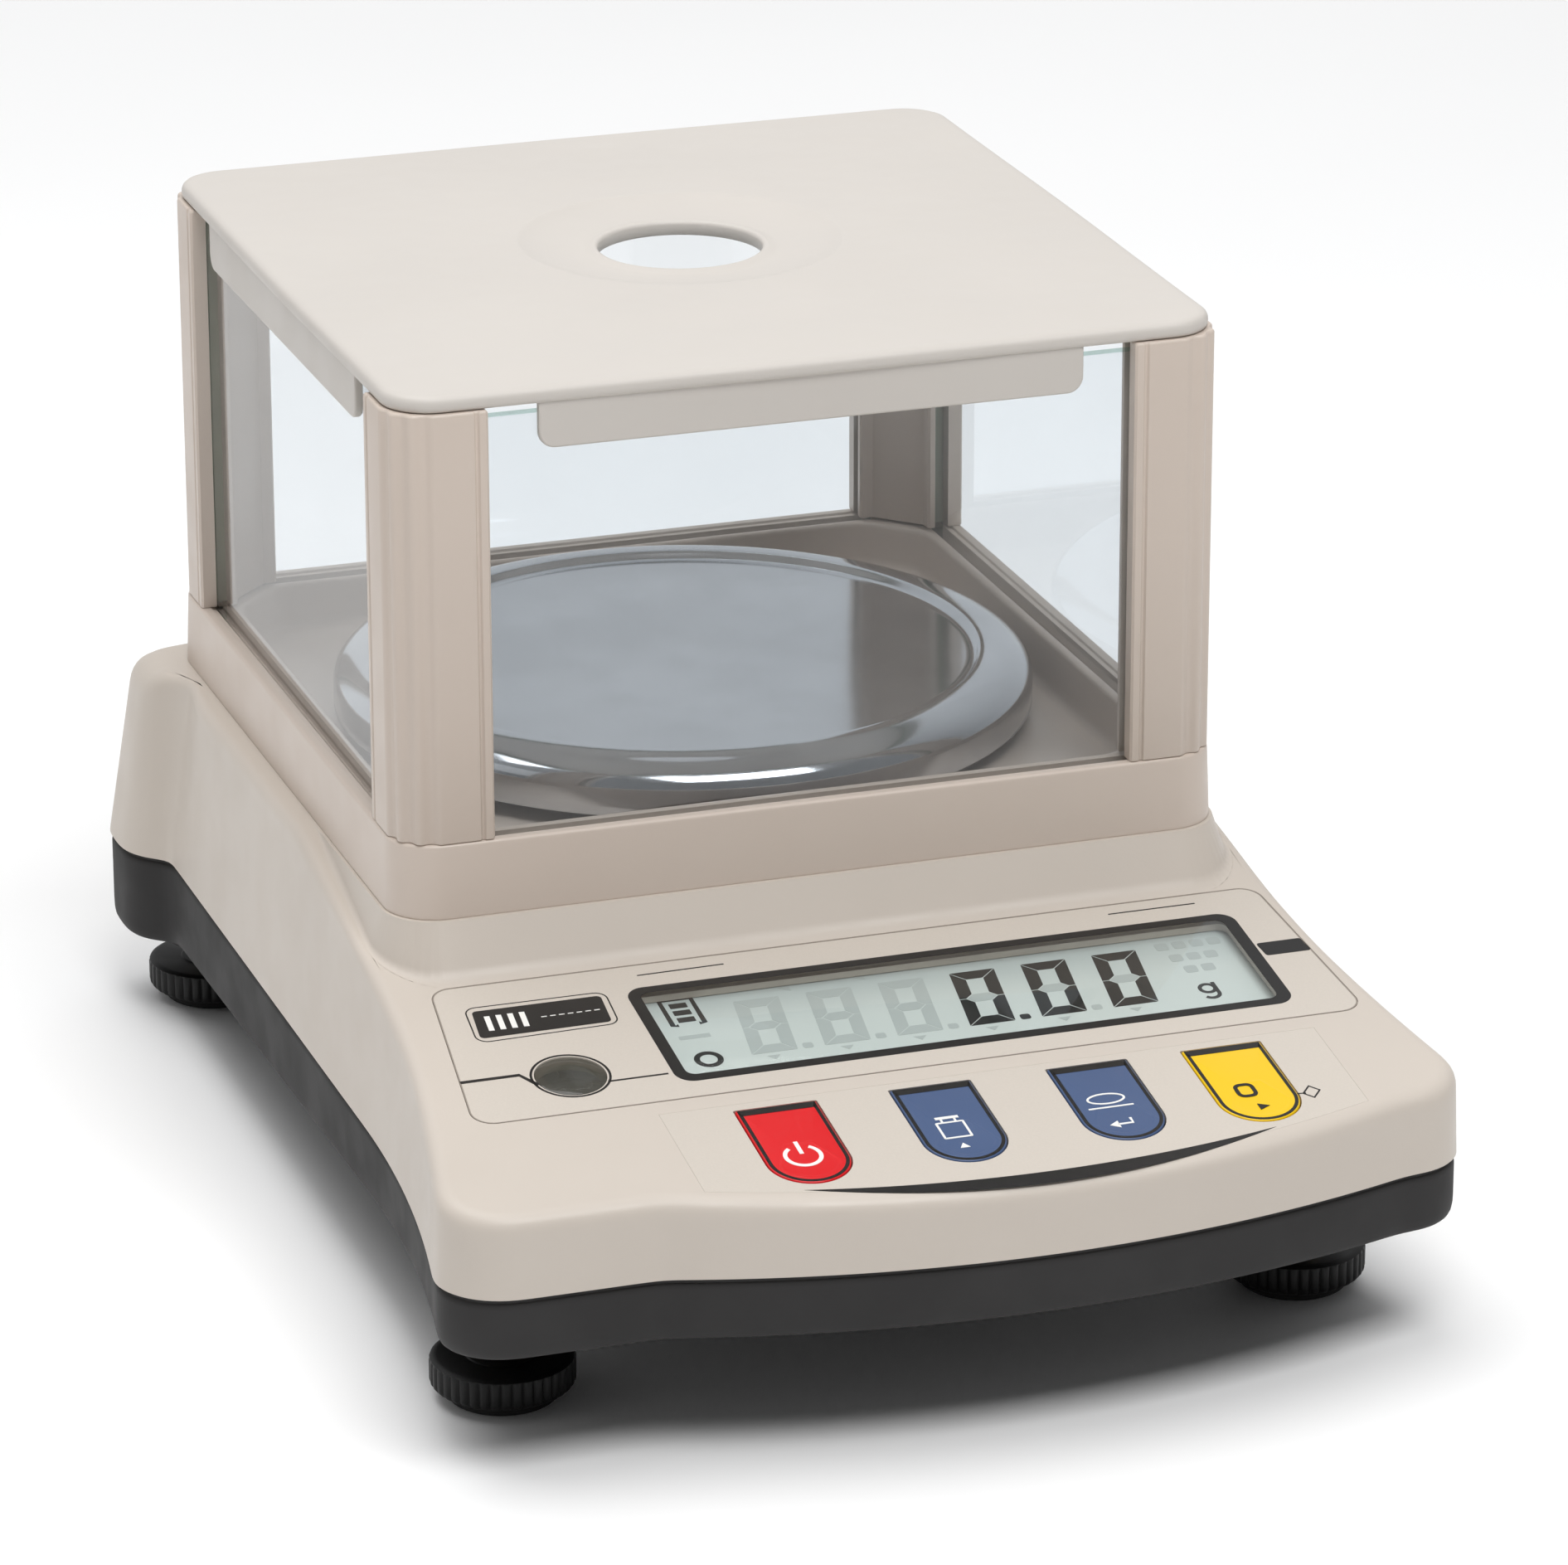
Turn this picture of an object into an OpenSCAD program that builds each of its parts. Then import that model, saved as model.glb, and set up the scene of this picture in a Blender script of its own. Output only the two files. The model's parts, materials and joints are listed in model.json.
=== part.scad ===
// Precision electronic balance with a square glass draft shield.
// Millimetres, +Z up, front towards -Y. The origin is on the table, under the middle of the body.

/* [Body] */
// Distance from the middle of the body back to the middle of the pan
pan_y = 42.5; // [40:0.5:45]
// Half width of the body at its rear lobes
lobe_half = 92.5; // [90:0.5:95]
// Half width of the body at its waist
waist_half = 85.3; // [84:0.1:87]
// Front face, measured forward from the pan's middle
front = 160.2; // [158:0.2:162]
// Rear face, measured back from the pan's middle
rear = 86.5; // [85:0.5:88]
// Height of the joint between the housing and the base tray
seam_z = 34.2; // [34:0.1:35]
// Height of the base tray's underside
tray_z = 23; // [22:0.5:23.5]
// Height of the base tray's lower edge at the front
skirt_z = 22.8; // [22.4:0.1:22.8]
// Slope of the base tray's lower edge, down towards the rear, degrees
skirt_slope = 1.6; // [1:0.1:1.8]
// Wall thickness of the mouldings
wall = 2.5; // [2:0.1:2.8]

/* [Control panel] */
// Slope of the control panel, degrees
panel_tilt = 9.1; // [8:0.1:10]
// Height of the panel at its reference line
panel_z = 60.5; // [60:0.5:61]
// Reference line of the panel, forward of the pan's middle
panel_y = 84; // [82:0.5:86]
// Width of the display window
window_w = 113.2; // [112:0.2:114]
// Depth of the display window
window_h = 31.4; // [31:0.2:32]
// Width of one key
key_w = 14.6; // [14:0.2:15]
// Length of one key
key_l = 25; // [24:0.5:26]
// Travel of a key when it is pressed
key_travel = 0.5; // [0.3:0.1:0.5]

/* [Draft shield] */
// Half width of the shield across its posts
shield_half = 76.8; // [76:0.1:77]
// Reach of a post along each side
post_leg = 17.5; // [17:0.5:18]
// Thickness of the glass panes
glass_t = 2.5; // [2:0.1:2.6]
// Half spacing of the glass panes, between their middles
glass_half = 72.5; // [72:0.1:73]
// Underside of the collar that carries the shield
collar_z = 69.7; // [69:0.1:70]
// Top of the collar
collar_top = 83.4; // [83:0.1:84]
// Underside of the lid
lid_z = 161.7; // [160:0.1:162]
// Thickness of the lid at its lip
lid_t = 3; // [2.8:0.1:3.2]
// Radius of the hole in the lid
lid_hole_r = 15; // [14:0.5:16]

/* [Pan and weighing cell] */
// Diameter of the pan
pan_d = 130; // [120:1:132]
// Top of the pan's rim
pan_top = 87; // [86:0.5:87]
// Length of the weighing cell
cell_l = 130; // [120:1:130]
// Width of the weighing cell
cell_w = 30; // [25:1:32]
// Height of the weighing cell
cell_h = 22; // [20:1:22]

/* [Feet] */
// Distance of a foot from the middle plane
foot_x = 73.4; // [73:0.1:74]
// Front feet, forward of the pan's middle
foot_front = 123.9; // [123:0.1:125]
// Rear feet, back of the pan's middle
foot_rear = 71.7; // [71:0.1:72]
// Radius of a foot's knob
foot_r = 12.7; // [12:0.1:13]
// Height of the top of a foot's knob
foot_h = 7.9; // [7.5:0.1:8]
// Radius of the levelling stud
stud_r = 3; // [2.5:0.1:3]

/* [Hidden] */
$fn = 64;
eps = 0.01;

cream = "#DCD5CC";
beige = "#C3B8AF";
charcoal = "#3C3C3E";
board_green = "#2E6B46";
steel = "#B9BCC0";

flare_start = 80;    // where the waist starts to widen, forward of the pan's middle
flare_r = 333;       // radius of the concave flare in plan
lobe_start = 56;     // front end of the rear lobes
body_r = 12;         // plan radius of the body's corners
bulge_r = 207;       // plan radius of the front bulge
bulge_x = 11.7;      // sideways place of the bulge's middle
bulge_front = 171.5; // front of the bulge
side_draft = 10;     // lean of the housing's sides, degrees
rear_lean = 5;       // how far the rear face leans in towards its top
rear_chamfer = 4;    // chamfer along the top of the rear face
deck_z = collar_z;   // flat top of the housing, under the collar
plinth_half = 79.4;  // raised plinth under the collar
plinth_front = 81;
plinth_r = 11;

window_x = 15.5;     // middle of the display window across the panel
window_v = -25.4;    // middle of the display window down the panel
key_v = -52.6;       // straight top edge of the keys
key_round_v = key_v - key_l + key_w / 2; // centre of a key's round end
key_x = [-27.9, 0, 28.7, 53.6];
level_x = -58.8;
level_v = -34.7;
level_r = 6.3;       // radius of the level's window and bore
level_depth = 11;    // depth of the level's bore below the panel
label_t = 0.4;       // thickness of the printed labels
panel_t = 2.5;       // thickness of the moulded panel
gap = 0.25;          // clearance round a key

cell_z = 34.5;       // underside of the weighing cell
plate_z = tray_z + wall;
plate_t = 3;
bracket_z = cell_z + cell_h + 4;
bracket_t = 4.5;
seat_z = 74;         // seat of the pan support on its bracket
spigot_r = 5;        // spigot of the bracket, inside the pan support
spigot_h = 3.4;
support_r = 50;      // outer radius of the pan support
pan_dip = 2.2;       // depth of the pan's recessed middle
support_top = pan_top - pan_dip - eps;
cell_screw_r = 2.5;
fixed_y = [44, 58];  // screws of the cell's fixed end
live_y = [-58, -44]; // screws of the cell's live end
stop_y = -57;        // overload stop under the live end

foot_spots = [[-foot_x, -foot_front], [foot_x, -foot_front], [-foot_x, foot_rear], [foot_x, foot_rear]];
boss_z = 12;         // lower end of the foot bosses
pad_h = 1.6;
screw_spots = [[-78, -147], [78, -147], [-77, -66], [77, -66], [-40, 78], [40, 78]];
chassis_spots = [[-32, -62], [32, -62], [-32, 62], [32, 62]];
board_x = 61;        // middle of the main board
board_size = [30, 96];
board_z = 34;
cable_y = -56;       // rear end of the flat cable, at its connector
board_spots = [[50, -52], [72, -52], [50, 28], [72, 28]];
bay = [62, 33];      // opening of the battery bay
bay_y = -106;        // middle of the battery bay
bay_top = 41;
cell_r = 7.1;        // radius of a battery cell

// ---- shared shapes ---------------------------------------------------------

// Everything is drawn round the pan's middle and moved back to the body's middle
module placed() { translate([0, pan_y, 0]) children(); }

// Panel coordinates: x across, y up the slope, z out of the panel
module on_panel() {
    placed() translate([0, -panel_y, panel_z]) rotate([panel_tilt, 0, 0]) children();
}

module rounded_2d(x0, y0, x1, y1, r) {
    union() {
        translate([x0 + r, y0]) square([x1 - x0 - 2 * r, y1 - y0]);
        translate([x0, y0 + r]) square([x1 - x0, y1 - y0 - 2 * r]);
        for (x = [x0 + r, x1 - r], y = [y0 + r, y1 - r]) translate([x, y]) circle(r);
    }
}

// Plan of the body, moved in from its outline by i
module body_plan(i = 0) {
    big = 400;
    // front block and waist
    difference() {
        rounded_2d(-lobe_half + i, -front + i, lobe_half - i, rear - 30, body_r - i);
        for (s = [-1, 1]) {
            intersection() {
                translate([s * (waist_half + flare_r), -flare_start]) circle(flare_r + i, $fn = 360);
                translate([-big, -big - flare_start]) square([2 * big, big]);
            }
            translate([s > 0 ? waist_half - i : -waist_half + i - 50, -flare_start - eps])
                square([50, flare_start + rear]);
        }
    }
    // rear lobes
    rounded_2d(-lobe_half + i, lobe_start + i, lobe_half - i, rear - i, body_r);
    translate([-waist_half + i, 0]) square([2 * (waist_half - i), lobe_start + body_r + 2]);
    // bulge at the front
    intersection() {
        translate([bulge_x, bulge_r - bulge_front]) circle(bulge_r - i, $fn = 360);
        translate([-lobe_half + body_r, -bulge_front]) square([2 * (lobe_half - body_r), 30]);
    }
}

// Solid under the sloped panel and the deck, moved in by i; sides lean in by side_draft
module body_envelope(i = 0, floor_z = seam_z) {
    slope = tan(panel_tilt);
    drop = i / cos(panel_tilt);
    top = deck_z - i;
    y_meet = -panel_y + (top + drop - panel_z) / slope;
    x_top = lobe_half - i - (deck_z - seam_z) * tan(side_draft);
    intersection() {
        translate([0, 0, floor_z]) linear_extrude(deck_z) body_plan(i);
        // side view
        rotate([90, 0, 90]) linear_extrude(300, center = true) polygon([
            [-bulge_front - 5, floor_z],
            [-bulge_front - 5, panel_z - drop + (panel_y - bulge_front - 5) * slope],
            [y_meet, top], [rear - i - rear_lean - rear_chamfer, top],
            [rear - i - rear_lean, top - rear_chamfer], [rear - i, floor_z]]);
        // front view
        rotate([90, 0, 0]) linear_extrude(500, center = true) polygon([
            [-lobe_half + i, floor_z], [-x_top, top], [x_top, top], [lobe_half - i, floor_z]]);
    }
}

module plinth(i = 0) {
    translate([0, 0, seam_z + 10]) linear_extrude(deck_z - seam_z - 10 - i)
        rounded_2d(-plinth_half + i, -plinth_front + i, plinth_half - i, plinth_front - i, plinth_r - i);
}

// Outline of a key or of its hole: straight top edge, round lower end
module key_2d(grow = 0) {
    r = key_w / 2 + grow;
    translate([0, key_round_v]) circle(r);
    translate([-r, key_round_v]) square([2 * r, key_l - key_w / 2 + grow]);
}

// Outline of the display window, grown or shrunk
module window_2d(grow = 0) {
    translate([window_x, window_v]) rounded_2d(-window_w / 2 - grow, -window_h / 2 - grow,
        window_w / 2 + grow, window_h / 2 + grow, 3 + grow);
}

// A screw pointing up: head below z = 0, shank above it
module screw_up(r, len, head_r, head_h) {
    translate([0, 0, -head_h]) cylinder(r = head_r, h = head_h);
    cylinder(r = r, h = len);
}

// ---- draft shield ----------------------------------------------------------

apron_half = 50;     // half length of a skirt tab under the lid
apron_depth = 8.3;
apron_face = 75.6;   // outer face of a tab
apron_t = 1.6;
crown = 1;           // rise of the lid towards its middle
dish_r = 29.5;

module lid() {
    half = shield_half - 0.4;
    color(cream) placed() difference() {
        union() {
            translate([0, 0, lid_z]) linear_extrude(lid_t) rounded_2d(-half, -half, half, half, 9);
            translate([0, 0, lid_z + lid_t]) cylinder(r1 = half - 4, r2 = dish_r + 3, h = crown);
            for (a = [0:90:270]) rotate(a) translate([-apron_half, -apron_face, lid_z - apron_depth])
                cube([2 * apron_half, apron_t, apron_depth + 1]);
        }
        translate([0, 0, lid_z - 1]) cylinder(r = lid_hole_r, h = lid_t + crown + 2);
        // shallow dish round the hole
        translate([0, 0, lid_z + lid_t - 0.4])
            cylinder(r1 = lid_hole_r + 2, r2 = dish_r, h = crown + 0.4 + eps);
    }
}

flute_r = 1.2;
post_z0 = collar_top;
post_z1 = lid_z - 0.05;
slot_depth = 3;
screw_in = 6.6;      // post screw, in from the post's outer faces
post_screw_at = -shield_half + screw_in;
post_screw_r = 2;
post_screw_l = 27;

// One post, drawn for the front left corner
module post(z0, z1) {
    out = shield_half;
    inn = out - post_leg;
    inner = glass_half - glass_t / 2 - 1.6;
    r = 8;
    difference() {
        translate([0, 0, z0]) linear_extrude(z1 - z0) difference() {
            union() {
                translate([-out + r, -out + r]) circle(r);
                polygon([[-out, -out + r], [-out + r, -out + r], [-out + r, -out], [-inn, -out],
                    [-inn, -inner], [-inner, -inn], [-out, -inn]]);
            }
            // flutes round the outer corner
            for (a = [205, 225, 245]) translate([-out + r, -out + r]) rotate(a)
                translate([r + 0.5, 0]) circle(flute_r, $fn = 24);
            // slots for two panes
            translate([-inn - slot_depth, -glass_half - glass_t / 2 - 0.1]) square([20, glass_t + 0.2]);
            translate([-glass_half - glass_t / 2 - 0.1, -inn - slot_depth]) square([glass_t + 0.2, 20]);
        }
        translate([-out + screw_in, -out + screw_in, z0 - 1]) cylinder(r = 2, h = 15);
    }
}

module post_at(a) { color(beige) placed() rotate(a) post(post_z0, post_z1); }
module post_front_left() { post_at(0); }
module post_front_right() { post_at(90); }
module post_rear_right() { post_at(180); }
module post_rear_left() { post_at(270); }

glass_z0 = 79.6;
glass_z1 = 159.6;
pane_half = shield_half - post_leg + slot_depth - 0.3;
module pane(a) {
    color("#CFE0E4", 0.35) placed() rotate(a)
        translate([-pane_half, -glass_half - glass_t / 2, glass_z0])
            cube([2 * pane_half, glass_t, glass_z1 - glass_z0]);
}
module glass_front() { pane(0); }
module glass_right() { pane(90); }
module glass_rear() { pane(180); }
module glass_left() { pane(270); }

floor_z = 74;        // floor of the weighing chamber
guard_r = 24;        // spill guard round the opening under the pan
opening_r = 22;      // opening that the pan support passes
module shield_base() {
    half = shield_half + 0.7;
    inner = glass_half - glass_t / 2 - 1.7;
    inn = shield_half - post_leg;
    corner = glass_half - glass_t / 2 - 1.6;
    color(beige) placed() difference() {
        union() {
            difference() {
                translate([0, 0, collar_z]) linear_extrude(collar_top - collar_z)
                    rounded_2d(-half, -half, half, half, 9.5);
                translate([0, 0, floor_z]) linear_extrude(20)
                    rounded_2d(-inner, -inner, inner, inner, 4);
            }
            // corner pads under the posts
            for (a = [0:90:270]) rotate(a) translate([0, 0, collar_z]) linear_extrude(collar_top - collar_z)
                polygon([[-inner - 2, -inner - 2], [-inn, -inner - 2], [-inn, -corner], [-corner, -inn],
                    [-inner - 2, -inn]]);
            translate([0, 0, floor_z - 1]) cylinder(r = guard_r, h = 3.4);
        }
        // grooves for the panes
        for (a = [0:90:270]) rotate(a)
            translate([-pane_half - 0.2, -glass_half - glass_t / 2 - 0.1, glass_z0])
                cube([2 * pane_half + 0.4, glass_t + 0.2, 10]);
        translate([0, 0, collar_z - 1]) cylinder(r = opening_r, h = 20);
        for (a = [0:90:270]) rotate(a) translate([post_screw_at, post_screw_at, collar_z - 1])
            cylinder(r = post_screw_r + 0.2, h = 30);
    }
}

module post_screws() {
    color(steel) placed() for (a = [0:90:270]) rotate(a)
        translate([post_screw_at, post_screw_at, deck_z - wall])
            screw_up(post_screw_r, post_screw_l, 3.6, 2.4);
}

// ---- housing and tray ------------------------------------------------------

lcd_spots = [[-45, -4], [76, -4], [-45, -46], [76, -46]];
key_spots = [[-42, -53], [66, -53], [-38.5, -76], [63.5, -76]];
jack_x = 56;
jack_z = 44;

module top_housing() {
    color(cream) difference() {
        union() {
            placed() difference() {
                union() {
                    body_envelope();
                    plinth();
                }
                body_envelope(wall, seam_z - 1);
                intersection() {
                    plinth(wall);
                    translate([-100, -plinth_front, 40]) cube([200, 200, 40]);
                }
            }
            // screw bosses from the tray
            placed() intersection() {
                for (p = screw_spots) translate([p[0], p[1], seam_z]) cylinder(r = 4, h = 30);
                body_envelope(1);
            }
            // bosses for the boards behind the panel
            on_panel() for (p = lcd_spots) translate([p[0], p[1], -5.8]) cylinder(r = 2.6, h = 4);
            on_panel() for (p = key_spots) translate([p[0], p[1], -5]) cylinder(r = 2.6, h = 3);
        }
        placed() {
            // opening of the weighing cell and the post screws
            translate([0, 0, deck_z - 10]) cylinder(r = opening_r, h = 20);
            for (a = [0:90:270]) rotate(a) translate([post_screw_at, post_screw_at, deck_z - 10])
                cylinder(r = post_screw_r + 0.2, h = 20);
            for (p = screw_spots) translate([p[0], p[1], seam_z - 1]) cylinder(r = 1.5, h = 9);
            translate([jack_x, rear - 20, jack_z]) rotate([-90, 0, 0]) cylinder(r = 4.2, h = 30);
        }
        on_panel() {
            translate([0, 0, -label_t]) linear_extrude(2) { display_label_2d(); key_label_2d(); }
            translate([0, 0, -1.2]) linear_extrude(4) window_2d(0.05);
            translate([0, 0, -10]) linear_extrude(20) window_2d(-1.7);
            for (x = key_x) translate([x, 0, -10]) linear_extrude(20) key_2d(gap);
            for (p = lcd_spots) translate([p[0], p[1], -7]) cylinder(r = 1.1, h = 5.5);
            for (p = key_spots) translate([p[0], p[1], -6]) cylinder(r = 1.1, h = 4.4);
        }
        level_place() translate([0, 0, -20]) cylinder(r = level_r, h = 40);
    }
}

module tray_floor_holes() {
    for (p = screw_spots) translate([p[0], p[1], 0]) cylinder(r = 1.7, h = 60);
    for (p = screw_spots) translate([p[0], p[1], tray_z - 5]) cylinder(r = 3.4, h = 5 + 6);
    for (p = chassis_spots) translate([p[0], p[1], 0]) cylinder(r = 2.2, h = 60);
    for (y = fixed_y) translate([0, y, 0]) cylinder(r = 5, h = 60);
    translate([-bay[0] / 2, bay_y - bay[1] / 2, 0]) cube([bay[0], bay[1], bay_top]);
    // ventilation slots beside the weighing cell
    for (k = [0:7]) translate([-67, -21 + 5 * k, tray_z - 1]) cube([20, 2, 5]);
}

// Rim that hangs below the tray's floor, deeper towards the rear
module tray_skirt() {
    depth = 10;
    difference() {
        translate([0, 0, tray_z + 2.5 - depth]) linear_extrude(depth) body_plan(0.3);
        translate([0, 0, tray_z - depth]) linear_extrude(depth + 1) body_plan(0.3 + wall);
        translate([0, -front, skirt_z]) rotate([-skirt_slope, 0, 0])
            translate([-150, -50, -60]) cube([300, 400, 60]);
    }
}

module base_tray() {
    color(charcoal) placed() difference() {
        union() {
            difference() {
                union() {
                    translate([0, 0, tray_z + 2]) linear_extrude(seam_z - tray_z - 2) body_plan(0.3);
                    translate([0, 0, tray_z]) linear_extrude(2.5) body_plan(2);
                }
                translate([0, 0, plate_z]) linear_extrude(30) body_plan(0.3 + wall);
            }
            tray_skirt();
            for (p = foot_spots) translate([p[0], p[1], boss_z]) cylinder(r = 10, h = 20);
            for (p = screw_spots) translate([p[0], p[1], tray_z]) cylinder(r = 5, h = seam_z - tray_z);
            for (p = board_spots) translate([p[0], p[1], tray_z]) cylinder(r = 3, h = board_z - tray_z);
            // battery bay
            translate([-bay[0] / 2 - 2, bay_y - bay[1] / 2 - 2, tray_z])
                cube([bay[0] + 4, bay[1] + 4, bay_top + 1.5 - tray_z]);
        }
        tray_floor_holes();
        for (p = foot_spots) translate([p[0], p[1], boss_z - 1]) cylinder(r = 5, h = 13);
        for (p = foot_spots) translate([p[0], p[1], 0]) cylinder(r = 3.6, h = 60);
        for (p = board_spots) translate([p[0], p[1], board_z - 6]) cylinder(r = 1.2, h = 10);
    }
}

module housing_screws() {
    color(steel) placed() for (p = screw_spots) translate([p[0], p[1], tray_z + 6])
        screw_up(1.5, 13, 3.2, 2.4);
}

// ---- control panel ---------------------------------------------------------

module display_label_2d() {
    hull() for (p = [[-70.7, -5.4], [76.2, -5.4], [79.8, -42.8], [-75.8, -42.8]])
        translate(p) circle(3.8, $fn = 32);
}

module key_label_2d() {
    intersection() {
        translate([-48, -84.4]) square([120, 34]);
        translate([bulge_x, 122]) circle(206.5, $fn = 180);
    }
}

module display_label() {
    color("#D9D2C9") difference() {
        on_panel() translate([0, 0, -label_t]) linear_extrude(label_t) difference() {
            display_label_2d();
            window_2d(0.05);
        }
        level_place() translate([0, 0, -20]) cylinder(r = level_r, h = 40);
    }
}

module key_label() {
    color("#DBD6D0") on_panel() translate([0, 0, -label_t]) linear_extrude(label_t) difference() {
        key_label_2d();
        for (x = key_x) translate([x, 0]) key_2d(gap);
    }
}

module display_window() {
    color("#DDE6E6", 0.4) on_panel() translate([0, 0, -1.2]) linear_extrude(1.2) window_2d();
}

module lcd_glass() {
    glass = [window_w + 0.8, window_h + 2.6, 2.8];
    color("#AEB7B5") on_panel() translate([window_x - glass.x / 2, window_v - glass.y / 2, -5.5]) cube(glass);
}

module lcd_board() {
    color(board_green) on_panel() translate([0, 0, -7.4]) linear_extrude(1.6) difference() {
        translate([-48, -49]) square([127, 48]);
        for (p = lcd_spots) translate(p) circle(1.3);
    }
}

module key(i, tint) {
    flange = 0.8;
    color(tint) on_panel() translate([key_x[i], 0, 0]) {
        translate([0, 0, -3.2]) linear_extrude(3.35) key_2d();
        translate([0, 0, -3.6]) linear_extrude(0.8) key_2d(flange);
        translate([0, key_round_v + 2, -3.8]) cylinder(r = 2.5, h = 0.5);
    }
}
module key_power() { key(0, "#E4282C"); }
module key_cal() { key(1, "#5A6E96"); }
module key_unit() { key(2, "#5A6E96"); }
module key_tare() { key(3, "#F5D60A"); }

module key_board() {
    color(board_green) on_panel() translate([0, 0, -6.6]) linear_extrude(1.6) difference() {
        translate([-45, -78]) square([114, 27.5]);
        translate([-46, -79]) square([4, 8]);
        translate([66, -79]) square([4, 8]);
        for (p = key_spots) translate(p) circle(1.3);
    }
}

module key_domes() {
    color(steel) on_panel() for (x = key_x)
        translate([x, key_round_v + 2, -5]) cylinder(r1 = 5, r2 = 2.5, h = 0.5);
}

module panel_screws() {
    color(steel) on_panel() {
        for (p = lcd_spots) translate([p[0], p[1], -7.4]) screw_up(1.1, 5, 2.4, 1.6);
        for (p = key_spots) translate([p[0], p[1], -6.6]) screw_up(1.1, 4.6, 2.4, 1.6);
    }
}

// Spirit level: it stays level under the sloped panel
module level_place() {
    on_panel() translate([level_x, level_v, 0]) rotate([-panel_tilt, 0, 0]) children();
}

module level_cup() {
    color("#4A4A4A") difference() {
        level_place() translate([0, 0, -level_depth - 1]) cylinder(r = level_r + 1.3, h = level_depth + 1);
        level_place() translate([0, 0, -level_depth]) cylinder(r = level_r, h = 30);
        on_panel() translate([level_x - 20, level_v - 20, -panel_t]) cube([40, 40, 20]);
    }
}

module level_vial() {
    color("#C6CF9A", 0.5) level_place() difference() {
        translate([0, 0, -level_depth]) cylinder(r = level_r - 0.1, h = 6.5);
        translate([0, 0, -level_depth + 1]) cylinder(r = level_r - 1.3, h = 4.5);
    }
}

module level_bubble() {
    drift = [0.4, 0.5, -7.2]; // the bubble rests a little off the middle
    color("#E8F0C0", 0.5) level_place() translate(drift) cylinder(r = 2, h = 1.6);
}

// ---- boards, cable and power inlet -----------------------------------------

module main_board() {
    color(board_green) placed() translate([0, 0, board_z]) linear_extrude(1.6) difference() {
        translate([board_x - board_size[0] / 2, -60]) square(board_size);
        for (p = board_spots) translate(p) circle(1.3);
    }
}

module board_parts() {
    processor = [14, 14, 1.8];
    converter = [10, 7, 1.8];
    inductor = [6, 12, 8];
    connector = [16, 5, 6];
    color("#26262A") placed() translate([board_x, 0, board_z + 1.6]) {
        translate([-7, -20, 0]) cube(processor);
        translate([-6, 2, 0]) cube(converter);
        translate([5, -40, 0]) cube(inductor);
        translate([-8, cable_y, 0]) cube(connector);
        // electrolytic capacitors
        translate([-9, -40, 0]) cylinder(r = 4, h = 10);
        translate([7, 14, 0]) cylinder(r = 3, h = 8);
    }
}

module board_screws() {
    color(steel) placed() for (p = board_spots) translate([p[0], p[1], board_z + 1.6])
        rotate([180, 0, 0]) screw_up(1.2, 7, 2.4, 1.5);
}

module ribbon_cable() {
    t = 0.8;
    run_z = 41;      // height of the flat run from the main board
    rise_y = -93;    // where it turns up to the display board
    top = 51.3;
    color("#8C8F94") placed() translate([board_x - 7, 0, 0]) rotate([90, 0, 90]) linear_extrude(14) polygon([
        [cable_y - eps, run_z], [rise_y + 3, run_z], [rise_y, run_z + 2], [rise_y, top], [rise_y - t, top],
        [rise_y - t, run_z + 2 - t / 4], [rise_y + 2.5, run_z - t], [cable_y - eps, run_z - t]]);
}

module dc_jack() {
    face = rear - 1.6;
    socket_r = 2.85; // for a 5.5 mm plug
    pin_r = 1.05;
    socket_depth = 9.5;
    color("#1E1E20") placed() difference() {
        union() {
            translate([jack_x - 7, 68, jack_z - 5.5]) cube([14, 13, 11]);
            translate([jack_x, 70, jack_z]) rotate([-90, 0, 0]) cylinder(r = 4.1, h = face - 70);
        }
        translate([jack_x, face - socket_depth, jack_z]) rotate([-90, 0, 0]) difference() {
            cylinder(r = socket_r, h = 20);
            translate([0, 0, -1]) cylinder(r = pin_r, h = socket_depth + 0.2);
        }
    }
}

// ---- weighing cell ---------------------------------------------------------

module chassis_plate() {
    color("#A9ADB2") placed() translate([0, 0, plate_z]) linear_extrude(plate_t) difference() {
        rounded_2d(-40, -72, 40, 72, 3);
        for (p = chassis_spots) translate(p) circle(2);
        for (y = fixed_y) translate([0, y]) circle(cell_screw_r + 0.2);
        translate([0, stop_y]) circle(cell_screw_r);
    }
}

module chassis_screws() {
    color(steel) placed() for (p = chassis_spots) translate([p[0], p[1], tray_z])
        screw_up(2, wall + plate_t, 3.6, 2.2);
}

module cell_foot_block() {
    foot_y = 36;     // front face of the block
    foot_z = plate_z + plate_t;
    color("#9DA1A6") placed() difference() {
        translate([-cell_w / 2, foot_y, foot_z]) cube([cell_w, cell_l / 2 - foot_y, cell_z - foot_z]);
        for (y = fixed_y) translate([0, y, 0]) cylinder(r = cell_screw_r + 0.2, h = 60);
    }
}

module load_cell() {
    hole_r = 7;
    color("#C9CCD0") placed() difference() {
        translate([-cell_w / 2, -cell_l / 2, cell_z]) cube([cell_w, cell_l, cell_h]);
        for (y = [-15, 15]) translate([-cell_w, y, cell_z + cell_h / 2]) rotate([0, 90, 0])
            cylinder(r = hole_r, h = 2 * cell_w);
        translate([-cell_w, -15, cell_z + cell_h / 2 - 2]) cube([2 * cell_w, 30, 4]);
        for (y = fixed_y) translate([0, y, cell_z - 1]) cylinder(r = cell_screw_r, h = 13);
        for (y = live_y) translate([0, y, cell_z + cell_h - 12]) cylinder(r = cell_screw_r, h = 13);
    }
}

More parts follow.
